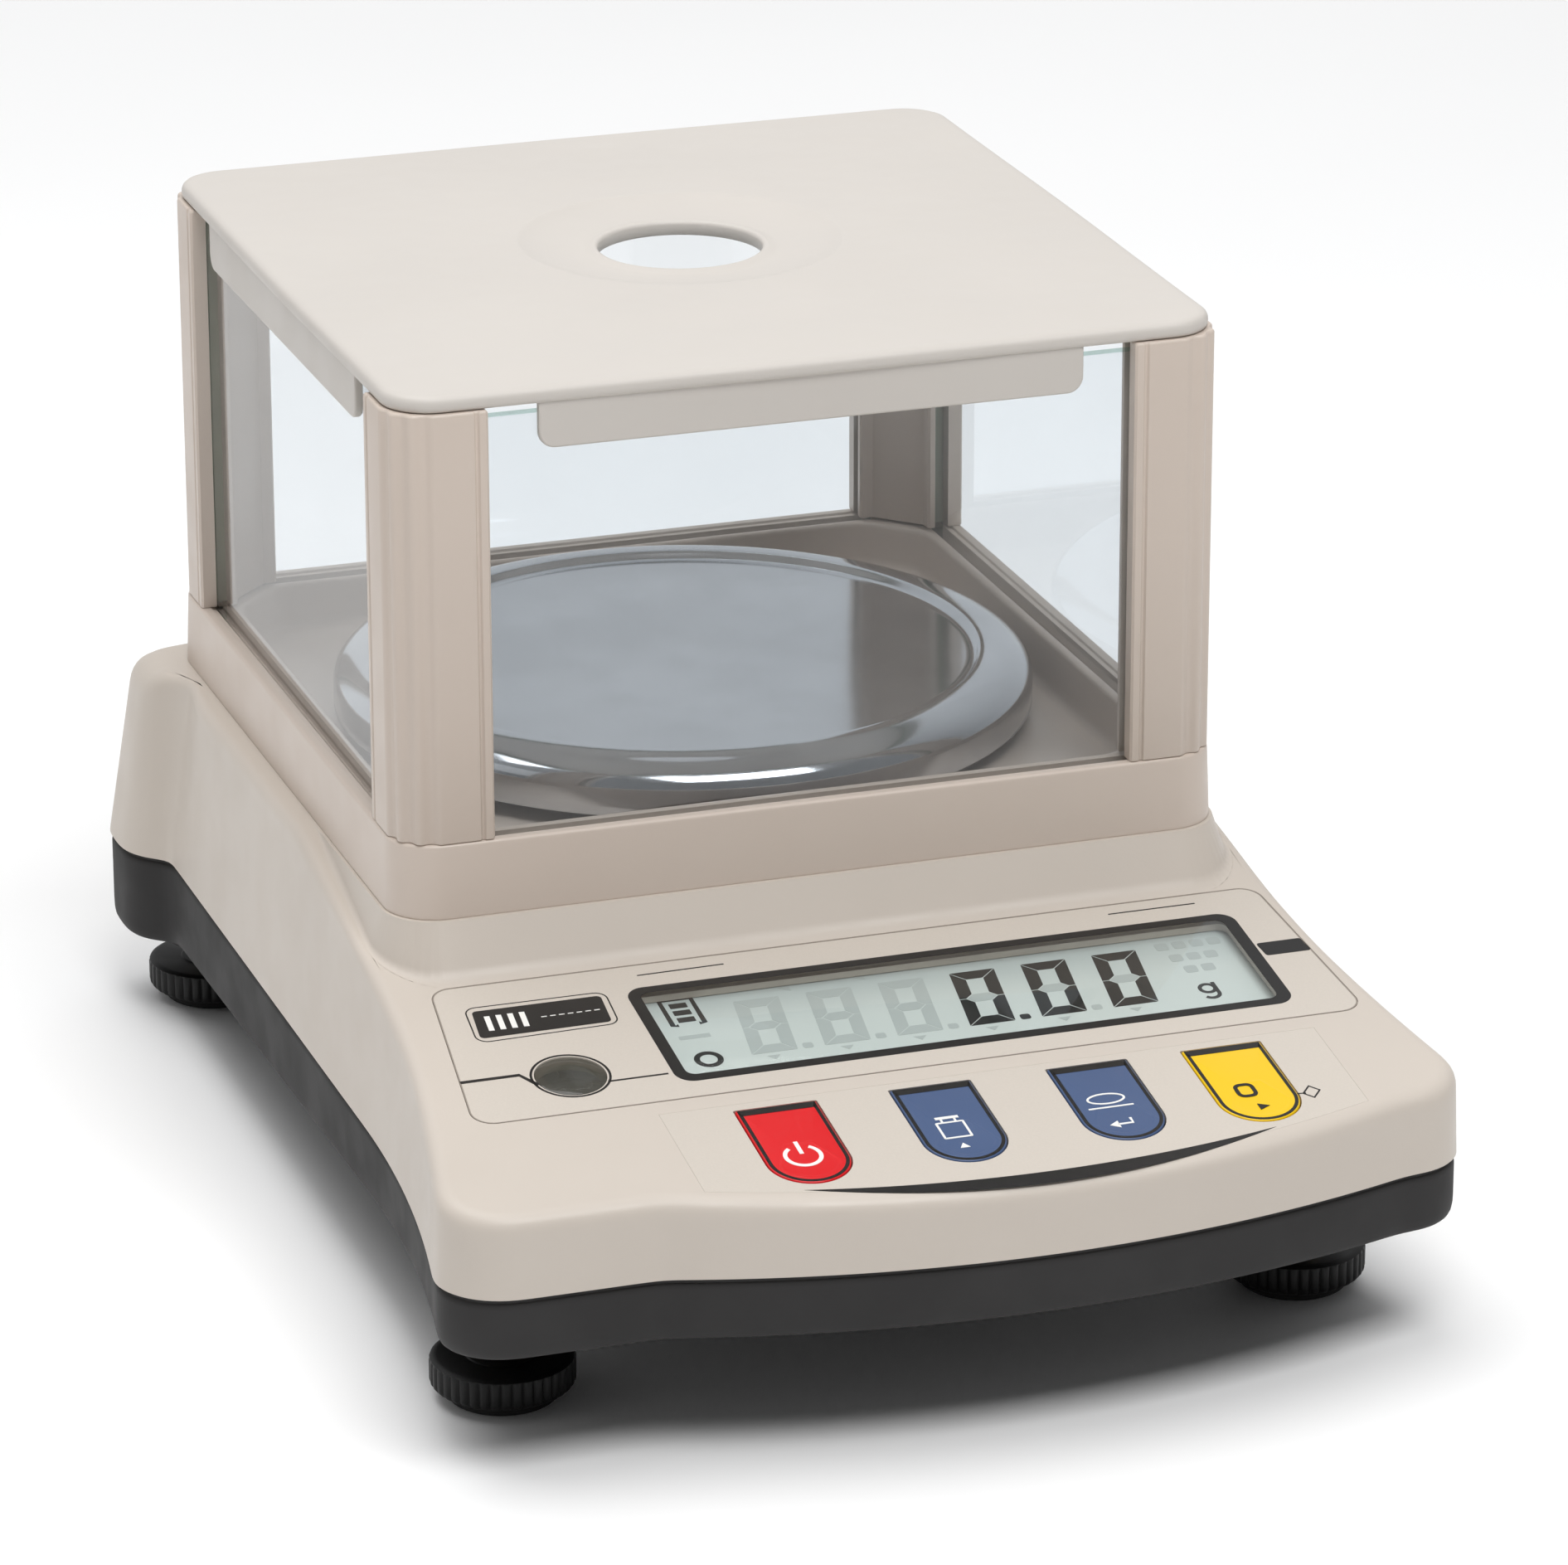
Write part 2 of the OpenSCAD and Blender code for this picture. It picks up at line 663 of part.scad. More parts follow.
module cell_top_block() {
    color("#9DA1A6") placed() difference() {
        translate([-cell_w / 2, -cell_l / 2, cell_z + cell_h]) cube([cell_w, 29, 4]);
        for (y = live_y) translate([0, y, 50]) cylinder(r = cell_screw_r + 0.2, h = 60);
    }
}

module pan_bracket() {
    color("#C9CCD0") placed() difference() {
        union() {
            translate([-cell_w / 2, -cell_l / 2, bracket_z]) cube([cell_w, cell_l / 2 + 12, bracket_t]);
            translate([0, 0, bracket_z]) cylinder(r = 8, h = seat_z - bracket_z);
            translate([0, 0, bracket_z]) cylinder(r = spigot_r, h = seat_z + spigot_h - bracket_z);
        }
        for (y = live_y) translate([0, y, 50]) cylinder(r = cell_screw_r + 0.2, h = 60);
        for (y = live_y) translate([0, y, bracket_z + 2]) cylinder(r = 4.8, h = 10);
    }
}

module cell_screws_fixed() {
    color(steel) placed() for (y = fixed_y) translate([0, y, plate_z]) screw_up(cell_screw_r, 18, 4.5, 2.4);
}

module cell_screws_live() {
    color(steel) placed() for (y = live_y) translate([0, y, bracket_z + 2]) rotate([180, 0, 0])
        screw_up(cell_screw_r, 15, 4.5, 3);
}

module overload_stop() {
    color(steel) placed() translate([0, stop_y, plate_z]) {
        cylinder(r = cell_screw_r, h = cell_z - plate_z - 0.4);
        translate([0, 0, plate_t]) cylinder(r = 4.6, h = 3, $fn = 6);
    }
}

module pan_support() {
    arm = 9;
    bar = 3;         // height of the arms and the ring
    ring_w = 7;
    color("#B4B6BA") placed() difference() {
        union() {
            translate([0, 0, seat_z]) cylinder(r = 11, h = support_top - seat_z);
            for (a = [45, 135]) rotate(a) translate([-support_r + 2, -arm / 2, support_top - bar])
                cube([2 * support_r - 4, arm, bar]);
            translate([0, 0, support_top - bar]) difference() {
                cylinder(r = support_r, h = bar);
                translate([0, 0, -1]) cylinder(r = support_r - ring_w, h = bar + 2);
            }
        }
        translate([0, 0, seat_z - 1]) cylinder(r = spigot_r + 0.06, h = spigot_h + 1.2);
    }
}

module pan() {
    r = pan_d / 2;
    t = 0.8;         // sheet thickness
    z = pan_top;
    skirt = 10;      // height of the turned-down rim
    lip = 1.8;       // depth of the locating ring
    ring_r = support_r + 0.3; // locating ring round the pan support
    color("#AEB3B8") placed() rotate_extrude($fn = 180) polygon([
        [0, z - pan_dip], [ring_r, z - pan_dip], [ring_r, z - pan_dip - lip],
        [ring_r + t, z - pan_dip - lip], [ring_r + t, z - pan_dip],
        [r - 10.2, z - pan_dip], [r - 8.6, z - t], [r - 6.2, z - t - 0.2],
        [r - 3.2, z - t - 1.2], [r - 1.4, z - t - 2.6], [r - t, z - t - 4.2], [r - t, z - skirt],
        [r, z - skirt], [r, z - 5], [r - 0.6, z - 3.2], [r - 2.6, z - 1.3], [r - 6, z - 0.2],
        [r - 9, z], [r - 10.4, z - pan_dip + t], [0, z - pan_dip + t]]);
}

// ---- batteries -------------------------------------------------------------

cell_len = 27;
cell_rows = [-7.4, 7.4];

module battery_cells() {
    color("#3E5A8C") placed() for (row = cell_rows, x = [1, -1 - cell_len])
        translate([x, bay_y + row, tray_z + wall + cell_r + 0.1]) rotate([0, 90, 0])
            cylinder(r = cell_r, h = cell_len);
}

module battery_contacts() {
    size = [0.8, 10, 10];
    color("#D5C98A") placed() for (row = cell_rows, x = [28.2, -29.6])
        translate([x, bay_y + row - size[1] / 2, tray_z + wall + 2]) cube(size);
}

module battery_door() {
    color("#343436") placed() translate([-bay[0] / 2 + 0.3, bay_y - bay[1] / 2 + 0.3, tray_z])
        cube([bay[0] - 0.6, bay[1] - 0.6, 2.2]);
}

// ---- levelling feet --------------------------------------------------------

module foot_inserts() {
    color("#C8A24C") placed() for (p = foot_spots) translate([p[0], p[1], boss_z]) difference() {
        cylinder(r = 5, h = 12);
        translate([0, 0, -1]) cylinder(r = stud_r + 0.05, h = 14);
    }
}

module foot_pad(i) {
    color("#141414") placed() translate([foot_spots[i][0], foot_spots[i][1], 0]) cylinder(r = 9.6, h = pad_h);
}
module foot_pad_front_left() { foot_pad(0); }
module foot_pad_front_right() { foot_pad(1); }
module foot_pad_rear_left() { foot_pad(2); }
module foot_pad_rear_right() { foot_pad(3); }

module foot_knob(i) {
    bevel = 1.6;
    top_bevel = 0.6;
    height = foot_h - pad_h;
    stud_top = 33;
    color("#1B1B1C") placed() translate([foot_spots[i][0], foot_spots[i][1], pad_h]) {
        cylinder(r1 = foot_r - bevel, r2 = foot_r, h = bevel);
        translate([0, 0, bevel]) cylinder(r = foot_r, h = height - bevel - top_bevel);
        translate([0, 0, height - top_bevel]) cylinder(r1 = foot_r, r2 = foot_r - top_bevel, h = top_bevel);
        translate([0, 0, 1]) cylinder(r = stud_r, h = stud_top - 1 - pad_h);
    }
}
module foot_knob_front_left() { foot_knob(0); }
module foot_knob_front_right() { foot_knob(1); }
module foot_knob_rear_left() { foot_knob(2); }
module foot_knob_rear_right() { foot_knob(3); }

lid();
post_front_left();
post_front_right();
post_rear_left();
post_rear_right();
glass_front();
glass_rear();
glass_left();
glass_right();
shield_base();
post_screws();
top_housing();
base_tray();
housing_screws();
display_label();
key_label();
display_window();
lcd_glass();
lcd_board();
key_power();
key_cal();
key_unit();
key_tare();
key_board();
key_domes();
panel_screws();
level_cup();
level_vial();
level_bubble();
main_board();
board_parts();
board_screws();
ribbon_cable();
dc_jack();
chassis_plate();
chassis_screws();
cell_foot_block();
load_cell();
cell_top_block();
pan_bracket();
cell_screws_fixed();
cell_screws_live();
overload_stop();
pan_support();
pan();
battery_cells();
battery_contacts();
battery_door();
foot_inserts();
foot_pad_front_left();
foot_pad_front_right();
foot_pad_rear_left();
foot_pad_rear_right();
foot_knob_front_left();
foot_knob_front_right();
foot_knob_rear_left();
foot_knob_rear_right();
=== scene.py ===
"""Looks for the precision balance with a glass draft shield: Blender 4.5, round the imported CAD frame."""

import json
import math

import bpy
import bmesh
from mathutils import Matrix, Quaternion, Vector


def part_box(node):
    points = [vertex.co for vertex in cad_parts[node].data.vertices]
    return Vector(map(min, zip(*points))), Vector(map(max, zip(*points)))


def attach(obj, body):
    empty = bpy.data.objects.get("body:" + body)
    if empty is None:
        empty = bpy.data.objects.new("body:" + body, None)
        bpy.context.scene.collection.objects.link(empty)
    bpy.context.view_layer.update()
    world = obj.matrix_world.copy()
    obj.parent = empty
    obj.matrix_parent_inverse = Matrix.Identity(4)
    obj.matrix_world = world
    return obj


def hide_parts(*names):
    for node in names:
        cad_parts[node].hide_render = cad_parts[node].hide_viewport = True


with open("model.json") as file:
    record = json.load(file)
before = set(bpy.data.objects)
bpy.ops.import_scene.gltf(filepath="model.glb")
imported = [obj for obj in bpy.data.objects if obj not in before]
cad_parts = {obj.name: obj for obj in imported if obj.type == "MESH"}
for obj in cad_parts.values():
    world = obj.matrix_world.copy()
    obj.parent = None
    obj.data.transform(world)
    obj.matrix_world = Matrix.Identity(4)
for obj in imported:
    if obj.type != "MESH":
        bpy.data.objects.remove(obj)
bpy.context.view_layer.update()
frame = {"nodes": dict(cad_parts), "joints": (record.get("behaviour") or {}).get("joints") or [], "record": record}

MM = 0.001  # shapes are written in millimetres and scaled when their meshes are made


# ---- camera ----

CAMERA_TARGET = Vector((-0.07515, -0.23841, 0.16766))
CAMERA_DISTANCE = 1.08835
CAMERA_AZIMUTH = math.radians(-18.671)
CAMERA_ELEVATION = math.radians(20.401)
CAMERA_ROLL = math.radians(-0.125)


def make_camera():
    data = bpy.data.cameras.new("camera")
    data.lens = 171.54
    data.sensor_width = 36
    data.clip_start, data.clip_end = 0.05, 100
    camera = bpy.data.objects.new("camera", data)
    flat = math.cos(CAMERA_ELEVATION)
    sideways, forward = math.sin(CAMERA_AZIMUTH) * flat, math.cos(CAMERA_AZIMUTH) * flat
    back = Vector((sideways, -forward, math.sin(CAMERA_ELEVATION)))
    camera.location = CAMERA_TARGET + back * CAMERA_DISTANCE
    camera.rotation_mode = "QUATERNION"
    camera.rotation_quaternion = back.to_track_quat("Z", "Y") @ Quaternion((0, 0, 1), CAMERA_ROLL)
    bpy.context.scene.collection.objects.link(camera)
    bpy.context.scene.camera = camera


make_camera()


# ---- places taken from the frame, in millimetres ----


def box_mm(node):
    low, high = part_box(node)
    return low / MM, high / MM


def islands(node):
    """Boxes of the separate solids in one CAD node, as (low, high) in millimetres."""
    mesh = frame["nodes"][node].data
    parent = list(range(len(mesh.vertices)))
    place = {}

    def root(i):
        while parent[i] != i:
            parent[i] = parent[parent[i]]
            i = parent[i]
        return i

    for v in mesh.vertices:
        key = tuple(round(c, 6) for c in v.co)
        parent[root(v.index)] = root(place.setdefault(key, v.index))
    for e in mesh.edges:
        parent[root(e.vertices[0])] = root(e.vertices[1])
    groups = {}
    for v in mesh.vertices:
        groups.setdefault(root(v.index), []).append(v.co / MM)
    boxes = [(Vector(map(min, zip(*g))), Vector(map(max, zip(*g)))) for g in groups.values()]
    return sorted(boxes, key=lambda b: tuple(round(c, 1) for c in b[0]))


def middle(box):
    return (box[0] + box[1]) / 2


PAN_BOX = box_mm("pan")
PAN_Y = middle(PAN_BOX).y
PAN_R = (PAN_BOX[1].x - PAN_BOX[0].x) / 2
PAN_TOP = PAN_BOX[1].z
HOUSING_BOX = box_mm("top_housing")
SEAM_Z, DECK_Z = HOUSING_BOX[0].z, HOUSING_BOX[1].z
BULGE_Y, REAR_Y = HOUSING_BOX[0].y, HOUSING_BOX[1].y
LOBE_HALF = HOUSING_BOX[1].x
BOSS_Z = box_mm("base_tray")[0].z
COLLAR_BOX = box_mm("shield_base")
LID_BOX = box_mm("lid")
POST_BOX = box_mm("post_front_left")
PANE_BOX = box_mm("glass_front")
JACK_BOX = box_mm("dc_jack")
DOOR_BOX = box_mm("battery_door")
SIDES = ["front", "right", "rear", "left"]
KEYS = ["key_power", "key_cal", "key_unit", "key_tare"]
LID_UNDER = 161.7  # underside of the lid's plate
TRAY_Z = 23.0  # underside of the tray's floor
EDGE_FRONT = 22.8  # the tray's lower edge at the front, from where it drops towards the rear
EDGE_SLOPE = math.tan(math.radians(1.6))

# the panel: its tilt comes from the direction in which the keys are pressed
PRESS = next(j for j in frame["joints"] if j["name"] == "key_power_press")["axis"]
TILT = math.asin(PRESS[1])
LABEL_T = 0.4
LABEL_TOP_V = -1.6
LABEL_BOX = box_mm("display_label")
PANEL_Y0 = LABEL_BOX[1].y - LABEL_T * math.sin(TILT) - LABEL_TOP_V * math.cos(TILT)
PANEL_Z0 = LABEL_BOX[1].z - LABEL_TOP_V * math.sin(TILT)


def panel(x, v, h=0.0):
    """Frame point of panel coordinates: x across, v up the slope, h out of the panel."""
    sin, cos = math.sin(TILT), math.cos(TILT)
    return (x, PANEL_Y0 + v * cos - h * sin, PANEL_Z0 + v * sin + h * cos)


def panel_height(y):
    """Height of the sloped panel at frame y."""
    return PANEL_Z0 + (y - PANEL_Y0) * math.tan(TILT)


# ---- materials ----


def srgb(code):
    """Linear colour of a hex code."""
    parts = [int(code[i : i + 2], 16) / 255 for i in (1, 3, 5)]
    return [p / 12.92 if p <= 0.04045 else ((p + 0.055) / 1.055) ** 2.4 for p in parts] + [1.0]


def shade(colour, factor):
    return [c * factor for c in colour[:3]] + [1.0]


class Nodes:
    """Writes a node tree in few lines. A value is a number, a colour, or another node's output to link."""

    def __init__(self, name):
        self.material = bpy.data.materials.new(name)
        self.material.use_nodes = True
        self.tree = self.material.node_tree
        self.tree.nodes.clear()
        self.output = self.add("ShaderNodeOutputMaterial")
        self.place = self.add("ShaderNodeTexCoord").outputs["Object"]

    def fill(self, socket, value):
        if isinstance(value, bpy.types.NodeSocket):
            self.tree.links.new(value, socket)
        else:
            socket.default_value = value

    def add(self, kind, *values, **named):
        """A node with its first inputs filled in order, and others by name."""
        node = self.tree.nodes.new(kind)
        for socket, value in zip(node.inputs, values):
            self.fill(socket, value)
        for name, value in named.items():
            self.fill(node.inputs[name.replace("_", " ")], value)
        return node

    def noise(self, scale, detail=2.0, roughness=0.5, stretch=(1, 1, 1)):
        mapping = self.add("ShaderNodeMapping", Vector=self.place, Scale=stretch).outputs[0]
        node = self.add("ShaderNodeTexNoise", Vector=mapping, Scale=scale, Detail=detail, Roughness=roughness)
        return node.outputs["Fac"]

    def remap(self, value, low, high, at=(0.35, 0.65)):
        return self.add("ShaderNodeMapRange", value, at[0], at[1], low, high).outputs["Result"]

    def mix_colour(self, factor, a, b):
        node = self.add("ShaderNodeMix")
        node.data_type = "RGBA"
        for socket, value in ((0, factor), (6, a), (7, b)):
            self.fill(node.inputs[socket], value)
        return node.outputs[2]

    def mix_shader(self, factor, a, b):
        return self.add("ShaderNodeMixShader", factor, a.outputs[0], b.outputs[0])

    def math(self, operation, *values):
        node = self.add("ShaderNodeMath", *values)
        node.operation = operation
        return node.outputs[0]

    def bump(self, height, strength, distance, **normal):
        named = {"Height": height, "Strength": strength, "Distance": distance, **normal}
        return self.add("ShaderNodeBump", **named).outputs[0]

    def surface(self, **inputs):
        """Ends the tree in a Principled surface and returns the material."""
        return self.finish(self.add("ShaderNodeBsdfPrincipled", **inputs))

    def finish(self, shader):
        self.tree.links.new(shader.outputs[0], self.output.inputs["Surface"])
        return self.material


def plastic(name, colour, rough=0.42, grain=2600, depth=0.00002, coat=0.0, mottle=0.02, gloss_level=0.4):
    """Moulded plastic: fine spark-eroded grain, faint cloudiness in colour and gloss."""
    n = Nodes(name)
    cloud = n.remap(n.noise(26, 3), 0, 1)
    base = n.mix_colour(cloud, shade(colour, 1 - mottle / 2), shade(colour, 1 + mottle / 2))
    gloss = n.remap(n.noise(90, 2), rough - 0.05, rough + 0.05)
    fine = n.bump(n.noise(grain, 2, 0.6), 0.35, depth)
    wave = n.bump(n.noise(45, 1), 0.04, 0.0001, Normal=fine)
    looks = {"Base_Color": base, "Roughness": gloss, "Normal": wave, "Specular_IOR_Level": gloss_level}
    return n.surface(**looks, Coat_Weight=coat, Coat_Roughness=0.25)


def metal(name, colour, rough=0.25, stretch=(1, 1, 1), scale=900, variation=0.08, grain=0.1):
    """Bare metal: tool or rolling marks along one direction, and uneven gloss."""
    n = Nodes(name)
    marks = n.noise(scale, 3, 0.6, stretch)
    base = n.mix_colour(n.remap(n.noise(40, 3), 0, 1), shade(colour, 0.94), shade(colour, 1.06))
    gloss = n.remap(marks, max(rough - variation, 0.02), rough + variation)
    return n.surface(Base_Color=base, Metallic=1.0, Roughness=gloss, Normal=n.bump(marks, grain, 0.00002))


def clear(name, tint, reflect=1.5, rough=0.02, haze=0.0, dust_colour=(0.9, 0.92, 0.94, 1)):
    """Clear sheet that does not bend light: a tint, a mirror that grows at low angles, faint smears."""
    n = Nodes(name)
    fresnel = n.add("ShaderNodeFresnel", IOR=reflect).outputs[0]
    # only the side facing the light path mirrors: inside the sheet light goes straight on
    backfacing = n.add("ShaderNodeNewGeometry").outputs["Backfacing"]
    outside = n.math("MULTIPLY_ADD", backfacing, -1.0, 1.0)
    share = n.math("MULTIPLY", fresnel, outside)
    smear = n.remap(n.noise(14, 4, 0.6), rough, rough + 0.05, (0.45, 0.75))
    through = n.add("ShaderNodeBsdfTransparent", Color=tint)
    mirror = n.add("ShaderNodeBsdfGlossy", Color=(1, 1, 1, 1), Roughness=smear)
    sheet = n.mix_shader(share, through, mirror)
    if haze:
        dust = n.add("ShaderNodeBsdfDiffuse", Color=dust_colour)
        sheet = n.mix_shader(n.remap(n.noise(9, 4, 0.7), 0, haze), sheet, dust)
    return n.finish(sheet)


def printed(name, colour, rough=0.4):
    """Screen-printed ink: flat colour with slight unevenness and a fine orange peel."""
    n = Nodes(name)
    base = n.mix_colour(n.remap(n.noise(2600, 2), 0, 1), shade(colour, 0.985), shade(colour, 1.015))
    return n.surface(Base_Color=base, Roughness=rough, Normal=n.bump(n.noise(2600, 2), 0.15, 0.000005))


def circuit_board(name):
    """Green solder mask over copper: darker bare board between raised track bands."""
    n = Nodes(name)
    bands = n.add("ShaderNodeTexBrick", Vector=n.place, Scale=260, Mortar_Size=0.03).outputs["Fac"]
    base = n.mix_colour(bands, (0.02, 0.16, 0.06, 1), (0.05, 0.27, 0.1, 1))
    return n.surface(Base_Color=base, Roughness=0.3, Normal=n.bump(bands, 0.3, 0.00003))


def display_glass(name):
    """Reflective liquid crystal: grey green, faintly cloudy, with a painted shadow of the window frame that
    darkens it towards its upper edge.
    """
    n = Nodes(name)
    depth = n.add("ShaderNodeSeparateXYZ", Vector=n.place).outputs["Y"]
    # painted shadow: the colour darkens towards the display's upper edge, where the window frame shades it
    painted_frame_shadow = n.remap(depth, 0, 1, (panel(0, -22)[1] * MM, panel(0, -9)[1] * MM))
    base = n.mix_colour(painted_frame_shadow, srgb("#D3DBD9"), srgb("#BCC6C6"))
    copper = n.mix_colour(n.remap(n.noise(60, 2), 0, 0.12), base, srgb("#E0E4E0"))
    return n.surface(Base_Color=copper, Roughness=0.35)


def rubber(name, colour, rough=0.75):
    n = Nodes(name)
    base = n.mix_colour(n.remap(n.noise(120, 4), 0, 1), shade(colour, 0.8), shade(colour, 1.6))
    return n.surface(Base_Color=base, Roughness=rough, Normal=n.bump(n.noise(1800, 3, 0.7), 0.5, 0.00004))


CREAM = shade(srgb("#DBD1C6"), 0.84)
BEIGE = shade(srgb("#D9CBBF"), 0.9)
MATERIALS = {
    "lid_cream": plastic("lid_cream", shade(srgb("#DCD6CF"), 0.84), 0.45, 2400),
    "shield_beige": plastic("shield_beige", BEIGE, 0.38, 2800),
    "clear_glass": clear("clear_glass", (0.93, 0.945, 0.955, 1), 1.5, 0.01, 0.02),
    "housing_cream": plastic("housing_cream", CREAM, 0.42, 2200, 0.00003),
    "tray_charcoal": plastic("tray_charcoal", srgb("#302F2F"), 0.65, 1500, 0.00006, 0.0, 0.15, 0.28),
    "zinc_steel": metal("zinc_steel", (0.62, 0.63, 0.66, 1), 0.3, scale=1500),
    "label_print": printed("label_print", shade(srgb("#DBD2C7"), 0.85), 0.4),
    "window_acrylic": clear("window_acrylic", (0.95, 0.96, 0.955, 1), 1.49, 0.03),
    "lcd_grey": display_glass("lcd_grey"),
    "board_green": circuit_board("board_green"),
    "key_red": plastic("key_red", srgb("#D81019"), 0.4, 1500, 0.00001, 0.1),
    "key_blue": plastic("key_blue", srgb("#465A80"), 0.4, 1500, 0.00001, 0.1),
    "key_yellow": plastic("key_yellow", srgb("#EFC400"), 0.4, 1500, 0.00001, 0.1),
    "cup_dark": plastic("cup_dark", srgb("#3A3A3A"), 0.5),
    "vial_clear": clear("vial_clear", (0.86, 0.92, 0.62, 1), 1.4, 0.01),
    "chip_black": plastic("chip_black", srgb("#1C1C1E"), 0.5, 1600),
    "cable_grey": plastic("cable_grey", srgb("#8C8F94"), 0.5, 1600),
    "cell_aluminium": metal("cell_aluminium", (0.7, 0.71, 0.73, 1), 0.34, (1, 14, 1), 500),
    "support_alloy": metal("support_alloy", (0.55, 0.56, 0.58, 1), 0.45, scale=1300, grain=0.5),
    "pan_steel": metal("pan_steel", (0.6, 0.615, 0.64, 1), 0.12, (1, 1, 1), 3000, 0.015, 0.0),
    "battery_wrap": plastic("battery_wrap", srgb("#3E5A8C"), 0.25, coat=0.5),
    "contact_nickel": metal("contact_nickel", (0.72, 0.68, 0.5, 1), 0.25),
    "insert_brass": metal("insert_brass", (0.7, 0.5, 0.2, 1), 0.3, scale=1500),
    "foot_rubber": rubber("foot_rubber", (0.012, 0.012, 0.012, 1)),
    "foot_black": plastic("foot_black", srgb("#080808"), 0.5, 1800),
}
INK = printed("ink_black", srgb("#0E0C0B"), 0.4)
LINE = printed("ink_line", srgb("#958B82"), 0.45)
SEGMENT = printed("lcd_segment", srgb("#050606"), 0.6)
GHOST = printed("lcd_ghost", srgb("#B9C1C0"), 0.35)
LEVEL_GLASS = clear("level_glass", (0.7, 0.7, 0.64, 1), 1.5, 0.05, 0.6, (0.16, 0.155, 0.135, 1))
PANE_EDGE = clear("pane_edge", (0.62, 0.76, 0.72, 1), 1.5, 0.1)
WHITE_INK = printed("ink_white", srgb("#F2F1ED"), 0.4)

for part in frame["record"]["subparts"]:
    cad_node = frame["nodes"][part["node"]]
    cad_node.data.materials.clear()
    cad_node.data.materials.append(MATERIALS[part["material_slot"]])


# ---- mesh helpers; a shape is (vertices in millimetres, faces) ----


def new_mesh(name, shape):
    mesh = bpy.data.meshes.new(name)
    mesh.from_pydata([tuple(c * MM for c in p) for p in shape[0]], [], shape[1])
    return mesh


def clean(mesh, merge=None):
    """Turns all faces outwards, after merging vertices closer than merge."""
    bm = bmesh.new()
    bm.from_mesh(mesh)
    if merge:
        bmesh.ops.remove_doubles(bm, verts=bm.verts, dist=merge)
    bmesh.ops.recalc_face_normals(bm, faces=bm.faces)
    bm.to_mesh(mesh)
    bm.free()


def add_object(name, data):
    made = bpy.data.objects.new(name, data)
    bpy.context.scene.collection.objects.link(made)
    return made


def dress(name, mesh, body, slot, replaces=(), material=None, sharp=35, weighted=False):
    """Makes a mesh a smooth-shaded piece that rides on a CAD body."""
    mesh.name = name
    clean(mesh, 1e-7)
    mesh.materials.clear()
    mesh.materials.append(material or MATERIALS[slot])
    mesh.shade_smooth()
    mesh.set_sharp_from_angle(angle=math.radians(sharp))
    piece = add_object(name, mesh)
    if weighted:
        modifier = piece.modifiers.new("weighted", "WEIGHTED_NORMAL")
        modifier.keep_sharp = True
        modifier.weight = 100
    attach(piece, body)
    if replaces:
        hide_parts(*replaces)
    return piece


def make_piece(name, shape, *args, **looks):
    mesh = new_mesh(name, shape)
    mesh.validate()
    return dress(name, mesh, *args, **looks)


def carve_piece(name, shape, cutters, *args, **looks):
    """A closed solid with closed cutters taken away."""
    solids = [add_object(f"{name}.solid{i}", new_mesh(name, s)) for i, s in enumerate([shape, *cutters])]
    base, *tools = solids
    for made in (base, *tools):
        clean(made.data)
    for tool in tools:
        modifier = base.modifiers.new("cut", "BOOLEAN")
        modifier.operation = "DIFFERENCE"
        modifier.solver = "MANIFOLD"
        modifier.object = tool
    bpy.context.view_layer.update()
    evaluated = base.evaluated_get(bpy.context.evaluated_depsgraph_get())
    mesh = bpy.data.meshes.new_from_object(evaluated)
    for made in (base, *tools):
        bpy.data.objects.remove(made)
    return dress(name, mesh, *args, **looks)


def loft(rings, close=False, open_span=None):
    """Faces between rings of equal length. close joins the last ring to the first, otherwise both are capped.
    open_span leaves one span out and caps the two rings beside it."""
    count = len(rings[0])
    verts = [p for ring in rings for p in ring]
    faces = []
    for k in range(len(rings) if close else len(rings) - 1):
        if k == open_span:
            continue
        a, b = k * count, (k + 1) % len(rings) * count
        for i in range(count):
            j = (i + 1) % count
            faces.append((a + i, a + j, b + j, b + i))
    if open_span is not None:
        faces.append(tuple(range(open_span * count, (open_span + 1) * count)))
        faces.append(tuple(reversed(range((open_span + 1) * count, (open_span + 2) * count))))
    elif not close:
        faces.append(tuple(reversed(range(count))))
        faces.append(tuple(range((len(rings) - 1) * count, len(rings) * count)))
    return verts, faces


def joined(parts):
    """Several shapes as one."""
    verts, faces = [], []
    for part_verts, part_faces in parts:
        start = len(verts)
        verts += part_verts
        faces += [tuple(start + i for i in f) for f in part_faces]
    return verts, faces


def directions(count):
    return [2 * math.pi * i / count for i in range(count)]


def circle(x, y, r, count):
    return [(x + r * math.cos(a), y + r * math.sin(a)) for a in directions(count)]


def lathe(profile, centre, segments=96, radius_at=None):
    """Rings of a list of (radius, height) turned round a vertical axis, the radius scaled by radius_at."""
    rings = []
    for r, z in profile:
        ring = []
        for a in directions(segments):
            rr = r * (radius_at(a, r, z) if radius_at else 1)
            ring.append((centre[0] + rr * math.cos(a), centre[1] + rr * math.sin(a), z))
        rings.append(ring)
    return rings


def turned_solid(profile, centre, segments, close=False):
    return loft(lathe(profile, centre, segments), close)


def arc(cx, cy, r, a0, a1, steps):
    """Points of an arc in degrees, both ends included."""
    angles = [math.radians(a0 + (a1 - a0) * i / steps) for i in range(steps + 1)]
    return [(cx + r * math.cos(a), cy + r * math.sin(a)) for a in angles]


